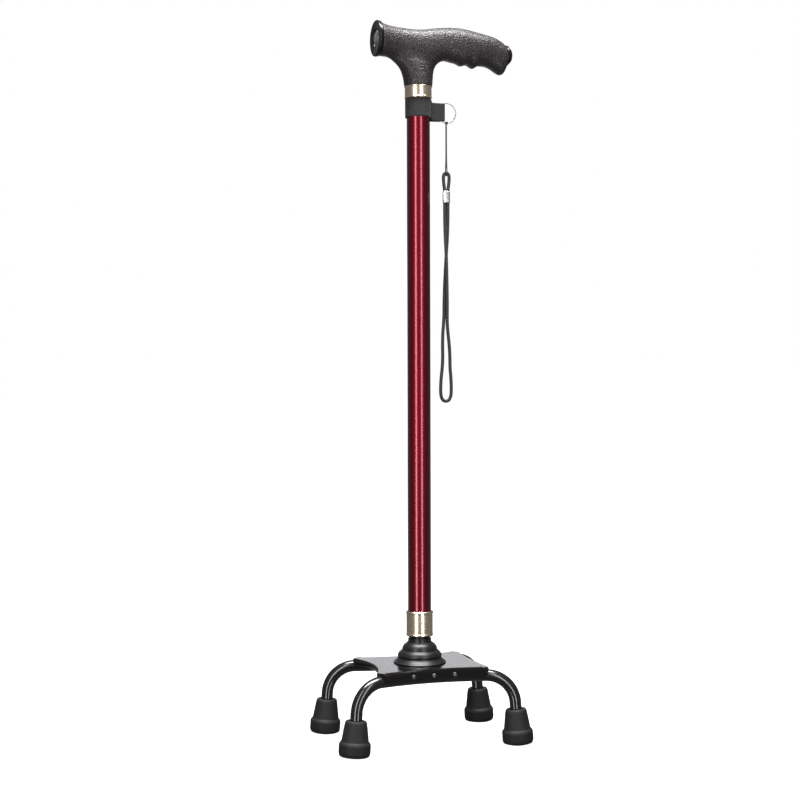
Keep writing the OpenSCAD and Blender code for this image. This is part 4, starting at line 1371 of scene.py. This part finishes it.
def make_ring():
    """A split ring: one flat-sided wire wound twice, its two turns side by side."""
    box_low, box_high = low("split_ring"), high("split_ring")
    centre = (box_low + box_high) / 2
    r = (box_high.x - box_low.x) / 2 - 0.5
    start, turns, pitch, steepness, wire_r, flatness = -0.6, 1.94, 0.56, 60, 0.29, 1.55
    points = []
    for share in np.linspace(0, 1, 220):
        angle = start + turns * TAU * share
        step = pitch * (1 / (1 + math.exp(-(share - 0.5) * steepness)) - 0.5)
        points.append((centre.x + r * math.cos(angle), centre.y + step, centre.z + r * math.sin(angle)))
    piece = tube("wound_ring", points, wire_r, 12)
    for v in piece.data.vertices:
        away = Vector((v.co.x - centre.x * MM, 0, v.co.z - centre.z * MM))
        far = away.length
        away *= (r * MM + (far - r * MM) * flatness) / far
        v.co.x, v.co.z = centre.x * MM + away.x, centre.z * MM + away.z
    dress(clean(piece, 60), "ring", "ring_steel", "split_ring")


make_strap()
make_ring()


# ---- floor and lights

def heading(angle, distance, height):
    """A place that far from the shaft. Angle 0 is towards the camera, and positive to its right."""
    turn = math.radians(-90 + CAMERA_HEADING + angle)
    return Vector((math.cos(turn) * distance, math.sin(turn) * distance, height))


def softbox(name, place, aim, size, watts, colour=(1, 1, 1)):
    light = bpy.data.lights.new(name, "AREA")
    light.shape = "RECTANGLE"
    light.size, light.size_y = size
    light.energy = watts
    light.color = colour
    obj = link(name, light)
    obj.location = place
    obj.rotation_euler = (aim - place).to_track_quat("-Z", "Y").to_euler()
    obj.visible_camera = False
    return obj


def keep_off(lights, obj):
    """Keeps lights off one piece."""
    group = bpy.data.collections.new("kept_off")
    group.objects.link(obj)
    group.collection_objects[0].light_linking.link_state = "EXCLUDE"
    for light in lights:
        light.light_linking.receiver_collection = group


def make_floor():
    """Pale floor that glows almost to white, keeps a faint shadow and lights nothing."""
    made, tree = surface(roughness=0.9, specular_ior_level=0, emission_color=(1, 1, 1, 1))
    made.name = "pale_floor"
    away = add(tree, "VectorMath", {0: place_in(tree)}, operation="LENGTH").outputs["Value"]
    feed(
        made,
        base_color=mix(tree, noise(tree, 3, 2), (0.28, 0.28, 0.283), (0.3, 0.3, 0.303)),
        emission_strength=eased(tree, away, 0.3, 1.6, 0.94, 1),
    )
    mesh = bpy.data.meshes.new("floor")
    half = 30.0
    corners = [(-half, -half, 0), (half, -half, 0), (half, half, 0), (-half, half, 0)]
    mesh.from_pydata(corners, [], [(0, 1, 2, 3)])
    mesh.materials.append(made)
    floor = link("floor", mesh)
    floor.location.z = -0.0004
    floor.visible_glossy = False
    floor.visible_diffuse = False
    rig.stage(floor)


def make_world():
    """White where the camera looks past the object, and dim for what the object mirrors."""
    world = bpy.data.worlds.new("studio")
    bpy.context.scene.world = world
    world.use_nodes = True
    tree = world.node_tree
    tree.nodes.clear()
    seen = add(tree, "LightPath").outputs["Is Camera Ray"]
    dim = add(tree, "Background", {"Color": (1, 0.97, 0.98, 1), "Strength": 0.20})
    white = add(tree, "Background", {"Color": (1, 1, 1, 1), "Strength": 1.0})
    mixed = add(tree, "MixShader", {0: seen, 1: dim.outputs[0], 2: white.outputs[0]})
    add(tree, "OutputWorld", {0: mixed.outputs[0]})


make_floor()
make_world()
MIDDLE = mm(0, 0, 400)
STRIP_AWAY, STRIP_HEIGHT = 0.75, 0.4
lamps = [
    softbox("strip_left", heading(-28.5, STRIP_AWAY, STRIP_HEIGHT), MIDDLE, (0.13, 1.5), 7),
    softbox("strip_right", heading(27, STRIP_AWAY, STRIP_HEIGHT), MIDDLE, (0.11, 1.5), 6),
    softbox("overhead", heading(0, 0.12, 1.7), mm(0, 0, 760), (1.3, 0.45), 76),
]
keep_off(lamps, plate)
softbox("backdrop", heading(184, 1.65, 0.45), mm(0, 0, 75), (0.9, 0.42), 1.3, (0.97, 0.96, 1))
bpy.context.scene.view_settings.view_transform = "Standard"

with open("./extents.json", "w") as out:
    json.dump({"cad": [list(v) for v in cad_box], "visual": [list(v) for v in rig.bounds()]}, out)
